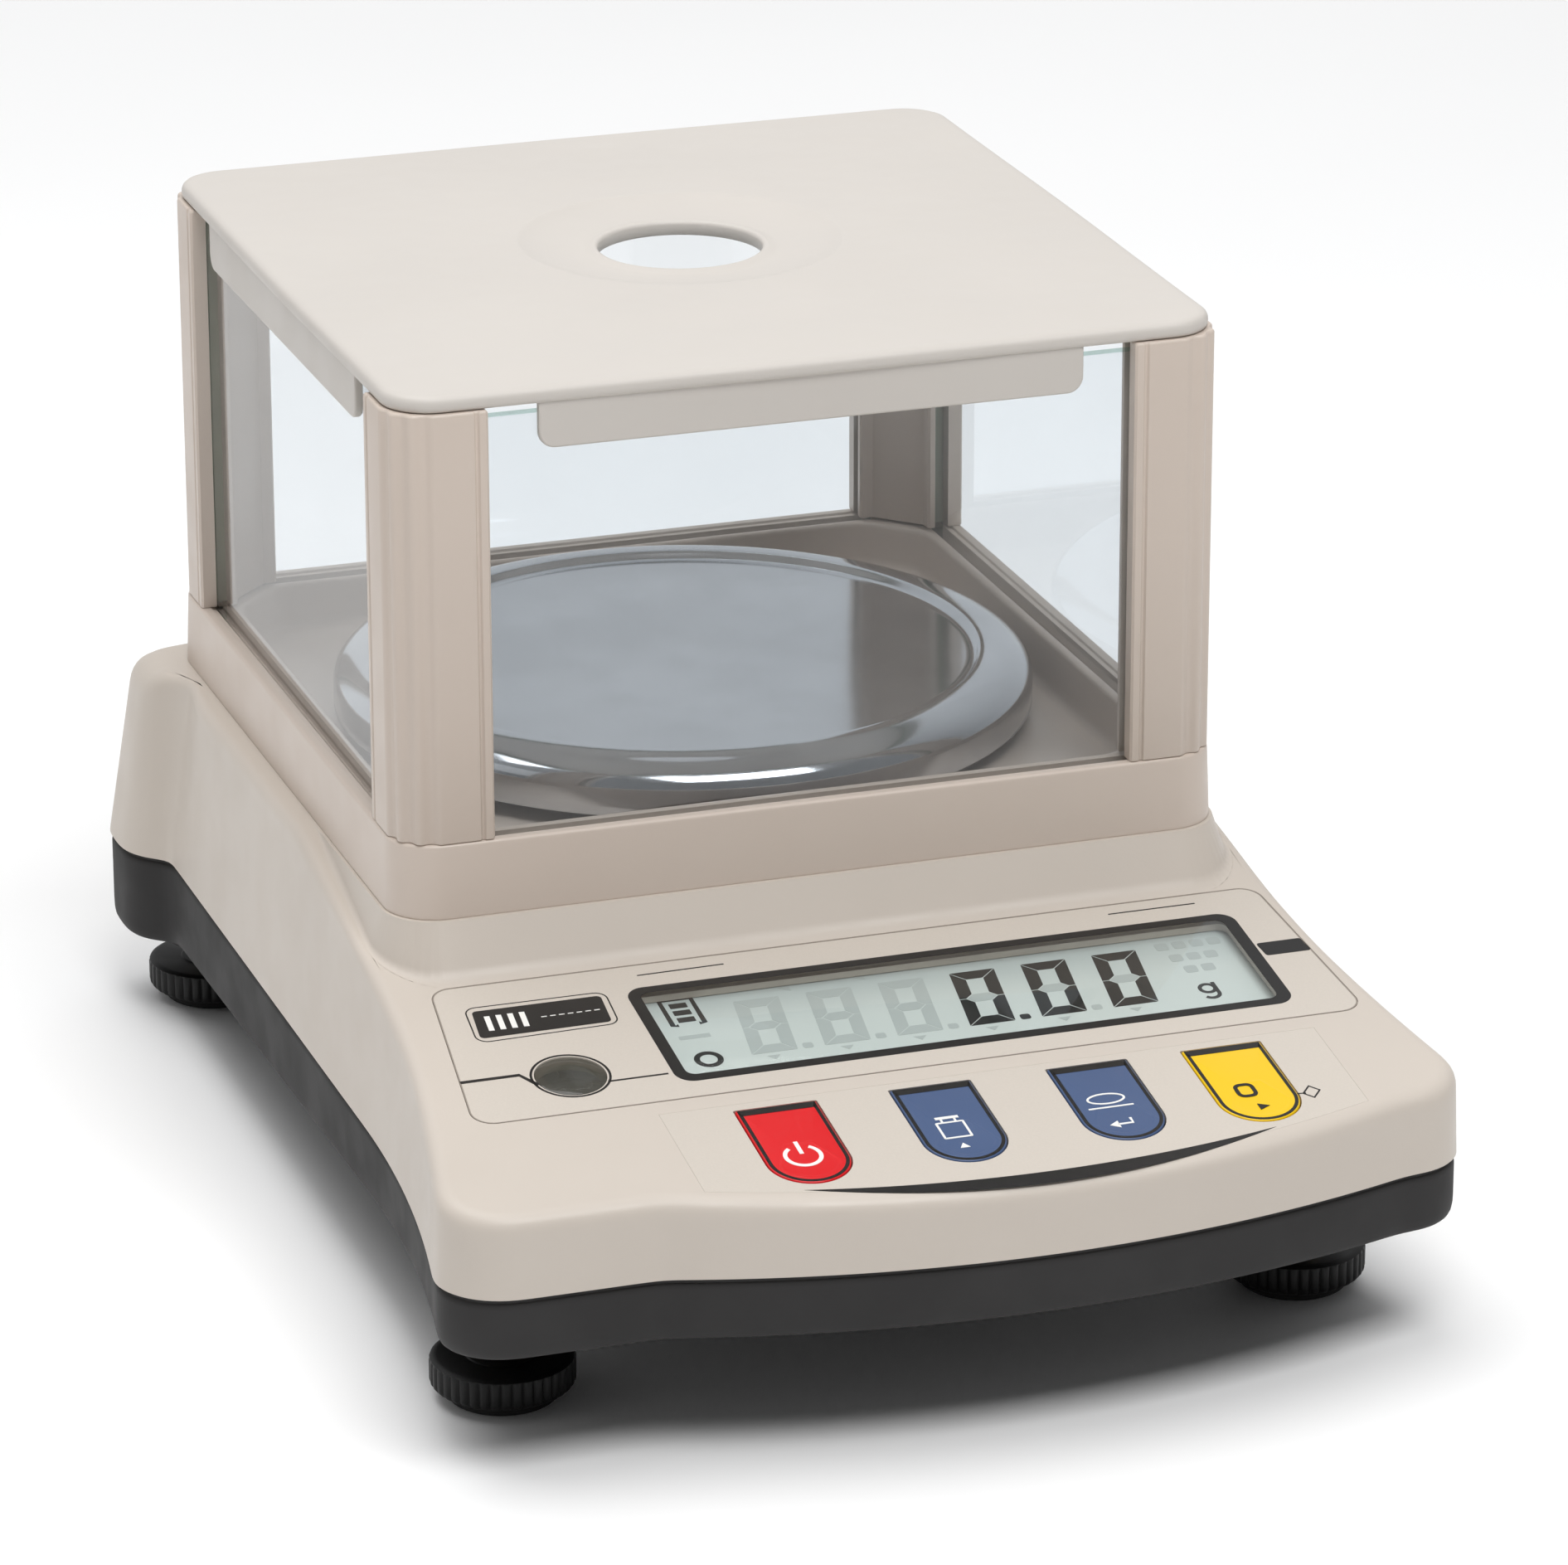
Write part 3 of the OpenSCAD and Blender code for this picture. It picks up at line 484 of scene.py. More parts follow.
def rounded_rect(x0, y0, x1, y1, r, steps=8):
    """Outline anticlockwise."""
    return (
        arc(x1 - r, y0 + r, r, -90, 0, steps)
        + arc(x1 - r, y1 - r, r, 0, 90, steps)
        + arc(x0 + r, y1 - r, r, 90, 180, steps)
        + arc(x0 + r, y0 + r, r, 180, 270, steps)
    )


def offset(points, distance):
    """A closed outline moved inwards (anticlockwise outline, positive distance)."""
    out, n = [], len(points)
    for i in range(n):
        a, b, c = Vector(points[i - 1]), Vector(points[i]), Vector(points[(i + 1) % n])
        u, v = (b - a).normalized(), (c - b).normalized()
        m = Vector((-(u + v).y, (u + v).x))
        length = m.length
        if length < 1e-6:
            out.append(tuple(b))
            continue
        m /= length
        slant = max(0.5, m.dot(Vector((-u.y, u.x))))
        out.append(tuple(b + m * distance / slant))
    return out


def filleted(corners, steps=6):
    """Closed outline from (x, y, radius) corners, each rounded by its radius."""
    out, n = [], len(corners)
    for i in range(n):
        p, r = Vector(corners[i][:2]), corners[i][2]
        a, b = Vector(corners[i - 1][:2]), Vector(corners[(i + 1) % n][:2])
        u, v = (a - p).normalized(), (b - p).normalized()
        turn = u.angle(v)
        if r <= 0:
            out.append(tuple(p))
            continue
        reach = r / math.tan(turn / 2)
        centre = p + (u + v).normalized() * (r / math.sin(turn / 2))
        start, end = p + u * reach - centre, p + v * reach - centre
        a0 = math.atan2(start.y, start.x)
        sweep = math.atan2(start.x * end.y - start.y * end.x, start.dot(end))
        for k in range(steps + 1):
            w = a0 + sweep * k / steps
            out.append((centre.x + r * math.cos(w), centre.y + r * math.sin(w)))
    return out


def prism(outline, low, high, bevel=0.0, place=None, steps=3):
    """Closed prism of an outline between two heights, with rounded rims, mapped by place(x, y, z)."""
    place = place or (lambda x, y, z: (x, y, z))
    section = [(0, low), (0, high)]
    if bevel:
        turns = [math.pi / 2 * k / steps for k in range(steps + 1)]
        swing = [(1 - math.sin(a), 1 - math.cos(a)) for a in turns]
        section = [(bevel * s, low + bevel * c) for s, c in swing]
        section += [(bevel * c, high - bevel * s) for s, c in swing]
    return loft([[place(x, y, z) for x, y in (offset(outline, i) if bevel else outline)] for i, z in section])


# ---- plan outlines, round the pan's middle ----

WAIST_HALF = 85.3
FLARE_START = -80.0
FLARE_R = 333.0
CORNER_R = 12.0
FRONT = 160.2
BULGE_R = 207.0
BULGE_X = 11.7
BULGE_FRONT = PAN_Y - BULGE_Y
REAR = REAR_Y - PAN_Y
LOBE_START = 56.0


def resample(points, count, sigma=0.0):
    """Closed outline with evenly spaced points, and small kinks blended over sigma."""
    n = len(points)
    lengths = [0.0]
    for i in range(n):
        lengths.append(lengths[-1] + (Vector(points[(i + 1) % n]) - Vector(points[i])).length)
    total, out, k = lengths[-1], [], 0
    for i in range(count):
        s = total * i / count
        while lengths[k + 1] < s:
            k += 1
        t = (s - lengths[k]) / max(lengths[k + 1] - lengths[k], 1e-9)
        a, b = Vector(points[k]), Vector(points[(k + 1) % n])
        out.append(a + (b - a) * t)
    if sigma:
        step = total / count
        reach = int(3 * sigma / step) + 1
        weights = {j: math.exp(-((j * step / sigma) ** 2) / 2) for j in range(-reach, reach + 1)}
        norm = sum(weights.values())
        out = [
            sum((out[(i + j) % count] * w for j, w in weights.items()), Vector((0, 0))) / norm
            for i in range(count)
        ]
    return [tuple(p) for p in out]


def body_outline(count):
    """The body's plan at the seam: bulged front, flared corners, narrow waist and rear lobes."""
    edge = math.sqrt(BULGE_R**2 - (BULGE_R - (BULGE_FRONT - FRONT)) ** 2)
    swing = math.degrees(math.asin(edge / BULGE_R))
    front = arc(BULGE_X, BULGE_R - BULGE_FRONT, BULGE_R, 270 - swing, 270 + swing, 60)
    cx, cy = LOBE_HALF - CORNER_R, CORNER_R - FRONT
    side = arc(cx, cy, CORNER_R, -90, 0, 12)[:-1]
    sweep = math.degrees(math.asin((FLARE_START - cy) / FLARE_R))
    side += arc(WAIST_HALF + FLARE_R, FLARE_START, FLARE_R, 180 + sweep, 180, 24)
    lift = math.degrees(math.acos((WAIST_HALF - cx) / CORNER_R))
    side += arc(cx, LOBE_START + CORNER_R, CORNER_R, -lift, 0, 10)
    side += arc(cx, REAR - CORNER_R, CORNER_R, 0, 90, 12)
    mirrored = [(-x, y) for x, y in reversed(side)]
    return resample(front + side + mirrored, count, 2.0)


BODY = body_outline(600)


def nearest(points, target):
    """Index of the outline point closest to target."""
    return min(range(len(points)), key=lambda i: (Vector(points[i]) - Vector(target)).length)


def rounded_square(half, corner):
    """Distance from the middle to a rounded square's edge, as a function of direction."""

    def radius(angle):
        s, c = sorted((abs(math.cos(angle)), abs(math.sin(angle))))
        if s / c * half <= half - corner:
            return half / c
        k = half - corner
        b = k * (c + s)
        return b + math.sqrt(max(b * b - (2 * k * k - corner * corner), 0))

    return radius


def cut_square(half, diagonal, sharpness=90):
    """The same for a square with its corners cut off, softly rounded."""

    def radius(angle):
        c, s = abs(math.cos(angle)), abs(math.sin(angle))
        edges = [half / max(c, 1e-6), half / max(s, 1e-6), diagonal * math.sqrt(2) / (c + s)]
        return sum(e**-sharpness for e in edges) ** (-1 / sharpness)

    return radius


def square_angles(count, half, corner):
    """Directions of evenly spaced points round a rounded square, so that its corners get their share."""
    outline = resample(rounded_rect(-half, -half, half, half, corner, 12), count)
    return [math.atan2(y, x) for x, y in outline]


def ring_at(angles, radius, z):
    """A ring round the pan's middle, its radius a number or a function of the direction."""
    radii = [radius(a) if callable(radius) else radius for a in angles]
    return [(r * math.cos(a), PAN_Y + r * math.sin(a), z) for a, r in zip(angles, radii)]


# ---- top housing ----

SHELL = 2.5  # wall of the mouldings
PLINTH_HALF = 78.0
PLINTH_FRONT = 78.3
PLINTH_R = 10.0
OPENING_R = 22.0
GUARD_R = 24.0
WINDOW = (-41.1, -41.1, 72.1, -9.7)  # outline of the display window: x0, v0, x1, v1
KEY_X = [middle(box_mm(key)).x for key in KEYS]
KEY_W = 14.6
KEY_TOP_V = -52.6
KEY_ROUND_V = -70.3
LEVEL_X, LEVEL_V, LEVEL_R = -58.8, -34.7, 6.3
LEVEL_SPOT = panel(LEVEL_X, LEVEL_V)
PANEL_END = -60.0  # forward of here the top is one flat panel


def smoothstep(value, low, high):
    t = min(max((value - low) / (high - low), 0), 1)
    return t * t * (3 - 2 * t)


def blend(value, stops):
    """Smooth function through (place, value) stops."""
    for (a, va), (b, vb) in zip(stops, stops[1:]):
        if value <= b:
            return va + (vb - va) * smoothstep(value, a, b)
    return stops[-1][1]


def top_height(y):
    """Height of the panel and the deck at pan-centred y, the bend between them softened."""
    slope = panel_height(y + PAN_Y)
    soft = 0.5
    h = min(max(0.5 + (slope - DECK_Z) / (2 * soft), 0), 1)
    return slope * (1 - h) + DECK_Z * h - soft * h * (1 - h)


def with_normals(points):
    """(point, inward normal) of an anticlockwise outline."""
    out, n = [], len(points)
    for i in range(n):
        t = (Vector(points[(i + 1) % n]) - Vector(points[i - 1])).normalized()
        out.append((Vector(points[i]), Vector((-t.y, t.x))))
    return out


def matched(outer, inner, pairs):
    """For each outer outline point, the inner outline's (point, normal), between pairs of matching places."""
    n, m = len(outer), len(inner)
    outer_points = [tuple(p) for p, _ in outer]
    inner_points = [tuple(p) for p, _ in inner]
    marks = sorted((nearest(outer_points, a), nearest(inner_points, b)) for a, b in pairs)
    out = []
    for i in range(n):
        k = max((j for j in range(len(marks)) if marks[j][0] <= i), default=len(marks) - 1)
        a0, b0 = marks[k]
        a1, b1 = marks[(k + 1) % len(marks)]
        span = (a1 - a0) % n or n
        reach = (b1 - b0) % m
        s = b0 + reach * ((i - a0) % n) / span
        j, t = int(s), s - int(s)
        (p, u), (q, v) = inner[j % m], inner[(j + 1) % m]
        out.append((p.lerp(q, t), u.lerp(v, t).normalized()))
    return out


def corner_curve(before, corner, after, reach_a, reach_b, steps):
    """Rounds a corner of a section between its two neighbours."""
    a = corner + (before - corner).normalized() * reach_a
    b = corner + (after - corner).normalized() * reach_b
    steps_along = [k / steps for k in range(steps + 1)]
    return [a * (1 - t) ** 2 + corner * 2 * t * (1 - t) + b * t * t for t in steps_along]


def housing_column(a, na, b, nb):
    """One column of the housing's rings: from seam point a over the top to plinth point b, then back inside.
    na and nb are the inward normals. Also says which ring ends the rounded edge."""
    lean = math.radians(blend(a.y, [(-150, 2), (-100, 5), (40, 5), (62, 9)]))
    round_r = blend(a.y, [(-150, 3.2), (-100, 2.6), (-60, 2.6), (-10, 4.6), (62, 5.2)])
    rise = top_height(a.y) - SEAM_Z
    lean_in = rise * math.tan(lean)
    wall_h = max(DECK_Z - top_height(b.y), 0.02)
    facing = max(nb.y, 0) ** 3  # 0 along the sides and the rear, 1 along the front
    run = max(wall_h * (0.34 + 0.33 * facing), 0.25)
    ledge = WAIST_HALF - PLINTH_HALF if a.y < PANEL_END else (b - a).length
    room = ledge - lean_in - run
    wide = smoothstep(-a.y, -PANEL_END, 90)
    r1 = min(round_r, room * 0.6 * (1 - wide) + round_r * wide)
    r2 = min(room * 0.3 * (1 - facing) + 2.2 * facing, wall_h * 0.6)
    spare = 0.15 * max(room - r1 - r2, 0)

    def edge(s, dz):
        p = a + na * s
        return p.x, p.y + PAN_Y, top_height(p.y) + dz

    def foot(u, dz):
        p = b - nb * u
        return p.x, p.y + PAN_Y, top_height(p.y) + dz

    q0, q1, q2 = Vector((0, -rise)), Vector((lean_in, 0)), Vector((lean_in + 50, 0))
    rim = [q0.lerp(q1, t) for t in (0.02, 0.3, 0.6)] + corner_curve(q0, q1, q2, min(r1, rise * 0.3), r1, 8)
    w0, w1, w2 = Vector((run + 50, 0)), Vector((run, 0)), Vector((0, wall_h))
    step = corner_curve(w0, w1, w2, r2, r2, 7)
    column = [(a.x, a.y + PAN_Y, SEAM_Z)] + [edge(s, dz) for s, dz in rim] + [edge(lean_in + r1 + spare, 0)]
    column += [foot(run + r2 + spare, 0)] + [foot(u, dz) for u, dz in step]
    column += [foot(*step[-1].lerp(w2, t)) for t in (0.5, 0.9)]
    # under the collar to the round opening, then back along the inside
    for inset in (0.0, 1.0, 2.0):
        p = b + nb * inset
        column.append((p.x, p.y + PAN_Y, DECK_Z))
    away = Vector((b.x, b.y)).normalized()
    for height in (DECK_Z, DECK_Z - SHELL):
        column.append((away.x * OPENING_R, away.y * OPENING_R + PAN_Y, height))
    p = b + nb * SHELL
    column.append((p.x, p.y + PAN_Y, DECK_Z - SHELL))
    column.append((p.x, p.y + PAN_Y, top_height(p.y) - SHELL - 0.1))
    column.append(edge(lean_in + SHELL, -SHELL))
    column.append((a.x + na.x * SHELL * 0.8, a.y + na.y * SHELL * 0.8 + PAN_Y, SEAM_Z))
    return column, len(rim) + 1


def housing_solid():
    """The moulded housing: rings from the seam up over the rounded edge, the plinth, and back down inside."""
    outer, count = with_normals(BODY), len(BODY)
    half, r = PLINTH_HALF, PLINTH_R
    inner = with_normals(resample(rounded_rect(-half, -PLINTH_FRONT, half, half, r, 12), 3000))
    flat, diagonal = half - r, half - r + r * math.sqrt(0.5)
    lobe_corner = CORNER_R * (math.sqrt(0.5) - 1)
    pairs = []
    for s in (-1, 1):
        pairs += [
            ((s * flat, -FRONT), (s * flat, -PLINTH_FRONT)),
            ((s * WAIST_HALF, PANEL_END), (s * half, PANEL_END)),
            ((s * WAIST_HALF, LOBE_START - 8), (s * half, LOBE_START - 8)),
            ((s * (LOBE_HALF + lobe_corner), REAR + lobe_corner), (s * diagonal, diagonal)),
            ((s * flat, REAR), (s * flat, half)),
        ]
    columns = [housing_column(*o, *i) for o, i in zip(outer, matched(outer, inner, pairs))]
    rings = [list(ring) for ring in zip(*(column for column, _ in columns))]
    # the flat panel and its underside are one face each, from the rounded edge to the foot of the plinth
    bridges = (columns[0][1], len(rings) - 3)
    start, end = (nearest(BODY, (s * WAIST_HALF, PANEL_END)) for s in (-1, 1))
    front = [i % count for i in range(start, end + count + 1)]
    faces = []
    for k in range(len(rings)):
        low, high = k * count, (k + 1) % len(rings) * count
        skipped = set(front[:-1]) if k in bridges else set()
        for i in range(count):
            j = (i + 1) % count
            if i not in skipped:
                faces.append((low + i, low + j, high + j, high + i))
        if skipped:
            faces.append(tuple(low + i for i in front) + tuple(high + i for i in reversed(front)))
    return [p for ring in rings for p in ring], faces


def key_outline(x, grow=0.0, top=0.0):
    """A key's outline in panel coordinates: straight top edge, round lower end."""
    r = KEY_W / 2 + grow
    upper = KEY_TOP_V + grow - top
    outline = arc(0, KEY_ROUND_V, r, 180, 360, 28)
    outline += arc(r - 0.4, upper - 0.4, 0.4, 0, 90, 3) + arc(-r + 0.4, upper - 0.4, 0.4, 90, 180, 3)
    return shifted(outline, x)


def shifted(outline, dx, dv=0.0):
    return [(x + dx, v + dv) for x, v in outline]


def display_label_outline(inset=0.0):
    top = LABEL_TOP_V
    outline = filleted([(-79.6, -46.6, 4), (83.6, -46.6, 4), (80.0, top, 4), (-74.5, top, 4)], 8)
    return offset(outline, inset) if inset else outline


def key_label_outline(inset=0.0):
    radius = 206.5 - inset
    left, right, top = -48 + inset, 72 - inset, -50.4 - inset
    a0, a1 = (math.degrees(math.asin((x - BULGE_X) / radius)) for x in (left, right))
    return arc(BULGE_X, 122, radius, 270 + a0, 270 + a1, 48) + [(right, top), (left, top)]


def window_outline(grow=0.0):
    x0, v0, x1, v1 = WINDOW
    return rounded_rect(x0 - grow, v0 - grow, x1 + grow, v1 + grow, 3 + grow, 8)


def pillar(centre, r, z0, z1, segments=64):
    return turned_solid([(r, z0), (r, z1)], centre, segments)


def key_holes(low, high):
    return [prism(key_outline(x, 0.25), low, high, place=panel) for x in KEY_X]


def build_housing():
    jack = middle(JACK_BOX)
    jack_hole = [[(x, y, z) for x, z in circle(jack.x, jack.z, 4.3, 48)] for y in (REAR_Y - 25, REAR_Y + 5)]
    cutters = [
        prism(display_label_outline(), -LABEL_T, 6, place=panel),
        prism(key_label_outline(), -LABEL_T, 6, place=panel),
        prism(window_outline(0.1), -1.25, 6, place=panel),
        prism(window_outline(-1.0), -14, 6, place=panel),
        pillar(LEVEL_SPOT, LEVEL_R, LEVEL_SPOT[2] - 15, LEVEL_SPOT[2] + 6),
        loft(jack_hole),
        *key_holes(-14, 6),
    ]
    looks = {"sharp": 38, "weighted": True}
    shell = housing_solid()
    carve_piece("housing_shell", shell, cutters, "housing", "housing_cream", ["top_housing"], **looks)


# ---- base tray ----


def body_ring(inset, z):
    return [(x, y + PAN_Y, z) for x, y in offset(BODY, inset)]


def edge_ring(inset, above):
    """Ring that follows the tray's sloping lower edge."""
    return [(x, y, EDGE_FRONT - EDGE_SLOPE * (y - PAN_Y + FRONT) + above) for x, y, _ in body_ring(inset, 0)]


def build_tray():
    door = DOOR_BOX
    bay = rounded_rect(door[0].x - 0.35, door[0].y - 0.35, door[1].x + 0.35, door[1].y + 0.35, 1.5)
    # outer wall with a shadow gap under the housing, a rounded lower edge and a skirt below the floor
    wall = [(3.0, SEAM_Z - 0.3), (0.9, SEAM_Z - 0.3), (0.9, SEAM_Z - 0.9)]
    wall += [(0.55, SEAM_Z - 1.2), (0.35, SEAM_Z - 2)]
    edge = [(0.35, 4), (0.4, 2.4), (0.6, 1.2), (0.95, 0.5), (1.4, 0.12)]
    edge += [(1.9, 0), (2.4, 0), (2.7, 0.15), (2.85, 0.5)]
    under = [(3.0, 0.6), (3.2, 0.9), (5, 1.0), (5.4, 0), (7, 0), (12, 0)]
    rings = [body_ring(i, z) for i, z in wall] + [edge_ring(i, above) for i, above in edge]
    rings += [body_ring(i, TRAY_Z + above) for i, above in under]
    # the floor's middle is closed by two small faces, one under it and one over it
    middle_y = PAN_Y - 37
    rings.append([(x / 2, (y - middle_y) / 2 + middle_y, z) for x, y, z in rings[-1]])
    rings.append([(x, y, TRAY_Z + SHELL) for x, y, _ in rings[-1]])
    rings += [body_ring(5.8, TRAY_Z + SHELL + 0.6), body_ring(3.4, TRAY_Z + 4.5)]
    low, high = TRAY_Z - 1, TRAY_Z + 8
    cutters = [prism(bay, TRAY_Z - 3, high)]
    for box in islands("housing_screws"):
        cutters.append(turned_solid([(4.2, low), (3.4, TRAY_Z + 0.6), (3.4, high)], middle(box), 40))
    # holes to reach the weighing cell's screws, and vent slots beside the cell
    cutters += [pillar((0, y + PAN_Y), 5, low, high, 40) for y in (44, 58)]
    for y in (PAN_Y - 20 + 5 * k for k in range(8)):
        cutters.append(prism(rounded_rect(-67, y - 1, -47, y + 1, 0.99, 5), low, high))
    shape = loft(rings, close=True, open_span=len(rings) - 4)
    looks = {"sharp": 38, "weighted": True}
    carve_piece("tray_shell", shape, cutters, "housing", "tray_charcoal", ["base_tray"], **looks)
    build_bay(bay)
    build_foot_bosses()


def build_bay(bay):
    """Walls and roof of the battery bay above the tray's floor, open below."""
    foot, roof, wall = TRAY_Z + 2.2, 41.0, 1.6
    section = [(0, foot), (0, roof - 1.5), (1.5, roof), (6, roof)]
    section += [(6, roof + wall), (-wall, roof + wall), (-wall, foot)]
    rings = [[(x, y, z) for x, y in offset(bay, i)] for i, z in section]
    make_piece("battery_bay", loft(rings, close=True, open_span=3), "housing", "tray_charcoal")


def build_foot_bosses():
    for box in islands("foot_inserts"):
        spot = middle(box)
        profile = [(5.05, BOSS_Z + 0.2), (8.8, BOSS_Z), (9.6, BOSS_Z + 0.4)]
        profile += [(10, BOSS_Z + 1.2), (10.4, TRAY_Z - 1.6)]
        profile += [(11.2, TRAY_Z - 0.5), (12.2, TRAY_Z + 0.2), (12.2, TRAY_Z + 1), (5.05, TRAY_Z + 1)]
        name = ("front" if spot.y < 0 else "rear") + ("_left" if spot.x < 0 else "_right")
        shape = turned_solid(profile, spot, 72, close=True)
        make_piece("foot_boss_" + name, shape, "housing", "tray_charcoal", sharp=45)


def build_door():
    """Battery door: a plate with a grip, ribs and an arrow that shows which way it opens."""
    low, high = DOOR_BOX
    mid = middle(DOOR_BOX)
    z = low.z
    plate = prism(rounded_rect(low.x + 0.1, low.y + 0.1, high.x - 0.1, high.y - 0.1, 1.4), z, high.z, 0.35)
    cutters = [turned_solid([(7, z - 1), (6.2, z + 0.9), (3, z + 1.3)], (high.x - 11, mid.y), 40)]
    for x in (low.x + 6 + 2.4 * k for k in range(7)):
        cutters.append(prism(rounded_rect(x - 0.5, low.y + 5, x + 0.5, high.y - 5, 0.49, 4), z - 1, z + 0.6))
    arrow = [(mid.x, mid.y - 4), (mid.x, mid.y + 4), (mid.x + 6, mid.y)]
    cutters.append(prism(arrow, z - 1, z + 0.4))
    looks = {"sharp": 40, "weighted": True}
    door = "battery_door"
    carve_piece("battery_door_plate", plate, cutters, door, "tray_charcoal", [door], **looks)


# ---- draft shield; the section of each ring is a list of (outline, height) ----

SHIELD_HALF = -POST_BOX[0].x
GLASS_MID = 72.5
GLASS_T = 2.5
GLASS_OUT, GLASS_IN = GLASS_MID + GLASS_T / 2, GLASS_MID - GLASS_T / 2
POST_LEG = 17.5
POST_BACK = GLASS_IN - 1.6  # where the bevelled back of a post crosses the middle of the shield's sides
CHAMBER_Z = 74.0


def build_collar():
    corner_r = 9.5
    inn, half = SHIELD_HALF - POST_LEG, COLLAR_BOX[1].x
    diagonal = (inn + POST_BACK) * math.sqrt(0.5)
    low, top, floor, guard = COLLAR_BOX[0].z, COLLAR_BOX[1].z, CHAMBER_Z, CHAMBER_Z + 2.4

    def outside(inset):
        return rounded_square(half - inset, corner_r - inset)

    def inside(inset):
        return cut_square(GLASS_IN - 1.7 - inset, diagonal - inset * 0.9)

    section = [(outside(3), low), (outside(0.1), low), (outside(0.0), low + 0.3)]
    section += [(outside(0.25), low + 7), (outside(0.5), top - 1.0)]
    for t in (0.3, 0.6, 0.9, 1.2, 1.57):
        section.append((outside(0.5 + 0.8 * (1 - math.cos(t))), top - 0.8 + 0.8 * math.sin(t)))
    section += [(rounded_square(h, 8), top - drop) for h, drop in ((75.2, 0), (74.9, 0.1), (74.7, 0.5))]
    section += [(rounded_square(GLASS_OUT + 0.12, 7), top - drop) for drop in (0.6, 3.6)]
    section += [(rounded_square(GLASS_IN - 0.12, 6), top - drop) for drop in (3.6, 0.7)]
    rim = ((-0.9, 0.5), (-0.3, 0.55), (0.1, 0.9), (0.2, 1.5), (0.3, 3))
    section += [(inside(i), top - drop) for i, drop in rim]
    cove = ((0.6, 2.2), (0.9, 1.0), (1.6, 0.3), (2.6, 0), (5, 0), (20, 0))
    section += [(inside(i), floor + above) for i, above in cove]
    section += [(GUARD_R + 1.4, floor), (GUARD_R + 0.4, floor + 0.3), (GUARD_R, floor + 1)]
    section += [(GUARD_R, guard - 0.4), (GUARD_R - 0.4, guard)]
    section += [(OPENING_R + 0.4, guard), (OPENING_R, guard - 0.4)]
    section += [(OPENING_R, low + 0.1), (GUARD_R + 6, low)]
    angles = square_angles(640, 77.7, corner_r)
    shape = loft([ring_at(angles, r, z) for r, z in section], close=True)
    make_piece("shield_collar", shape, "housing", "shield_beige", ["shield_base"], sharp=40, weighted=True)


def post_outline():
    """Section of the front left post, anticlockwise: fluted corner, beads at its legs, bevelled back."""
    out, inn, back = -SHIELD_HALF, POST_LEG - SHIELD_HALF, -POST_BACK
    r, slot, bead, steps, flutes = 8.0, 3.0, 0.35, 60, 3
    face_out, face_in = -GLASS_OUT - 0.1, -GLASS_IN + 0.1
    corner = []
    for k in range(steps + 1):
        a = math.radians(180 + 90 * k / steps)
        swell = math.sin(math.pi * k / steps) ** 0.5
        wave = swell * 0.5 * (1 - math.cos(2 * math.pi * flutes * k / steps + math.pi))
        rr = r - 0.75 * (1 - wave) * smoothstep(min(k, steps - k), 0, 8)
        corner.append((out + r + rr * math.cos(a), out + r + rr * math.sin(a)))
    leg = [(inn - 2.6, out), (inn - 2.3, out + bead), (inn - 1.9, out + bead), (inn - 1.6, out)]
    leg += [(inn - 0.4, out), (inn, out + 0.4), (inn, face_out)]
    leg += [(inn - slot, face_out), (inn - slot, face_in)]
    leg += [(inn, face_in), (inn, back - 0.5), (inn - 0.4, back), (inn - 2.5, back)]
    return corner + leg + [(y, x) for x, y in reversed(leg)]


def turned(points, quarter):
    for _ in range(quarter):
        points = [(-y, x) for x, y in points]
    return points


def build_posts():
    z0, z1 = POST_BOX[0].z, POST_BOX[1].z
    section = [(0.35, z0), (0.1, z0 + 0.1), (0, z0 + 0.35), (0, z1 - 0.5), (0.1, z1 - 0.2), (0.3, z1)]
    for quarter, name in enumerate(["front_left", "front_right", "rear_right", "rear_left"]):
        spots = turned(post_outline(), quarter)
        shape = loft([[(x, y + PAN_Y, z) for x, y in (offset(spots, i) if i else spots)] for i, z in section])
        make_piece("fluted_post_" + name, shape, "housing", "shield_beige", ["post_" + name], sharp=30)


def build_panes():
    low, high = PANE_BOX
    front = [(-high.x, -GLASS_OUT), (high.x, -GLASS_OUT), (high.x, -GLASS_IN), (-high.x, -GLASS_IN)]
    for quarter, name in enumerate(SIDES):
        shape = prism(shifted(turned(front, quarter), 0, PAN_Y), low.z, high.z, 0.3, steps=2)
        pane = make_piece("pane_" + name, shape, "housing", "clear_glass", ["glass_" + name], sharp=20)
        pane.data.materials.append(PANE_EDGE)
        across = Vector((quarter % 2, 1 - quarter % 2, 0))
        for polygon in pane.data.polygons:
            if abs(polygon.normal.dot(across)) < 0.9:
                polygon.material_index = 1


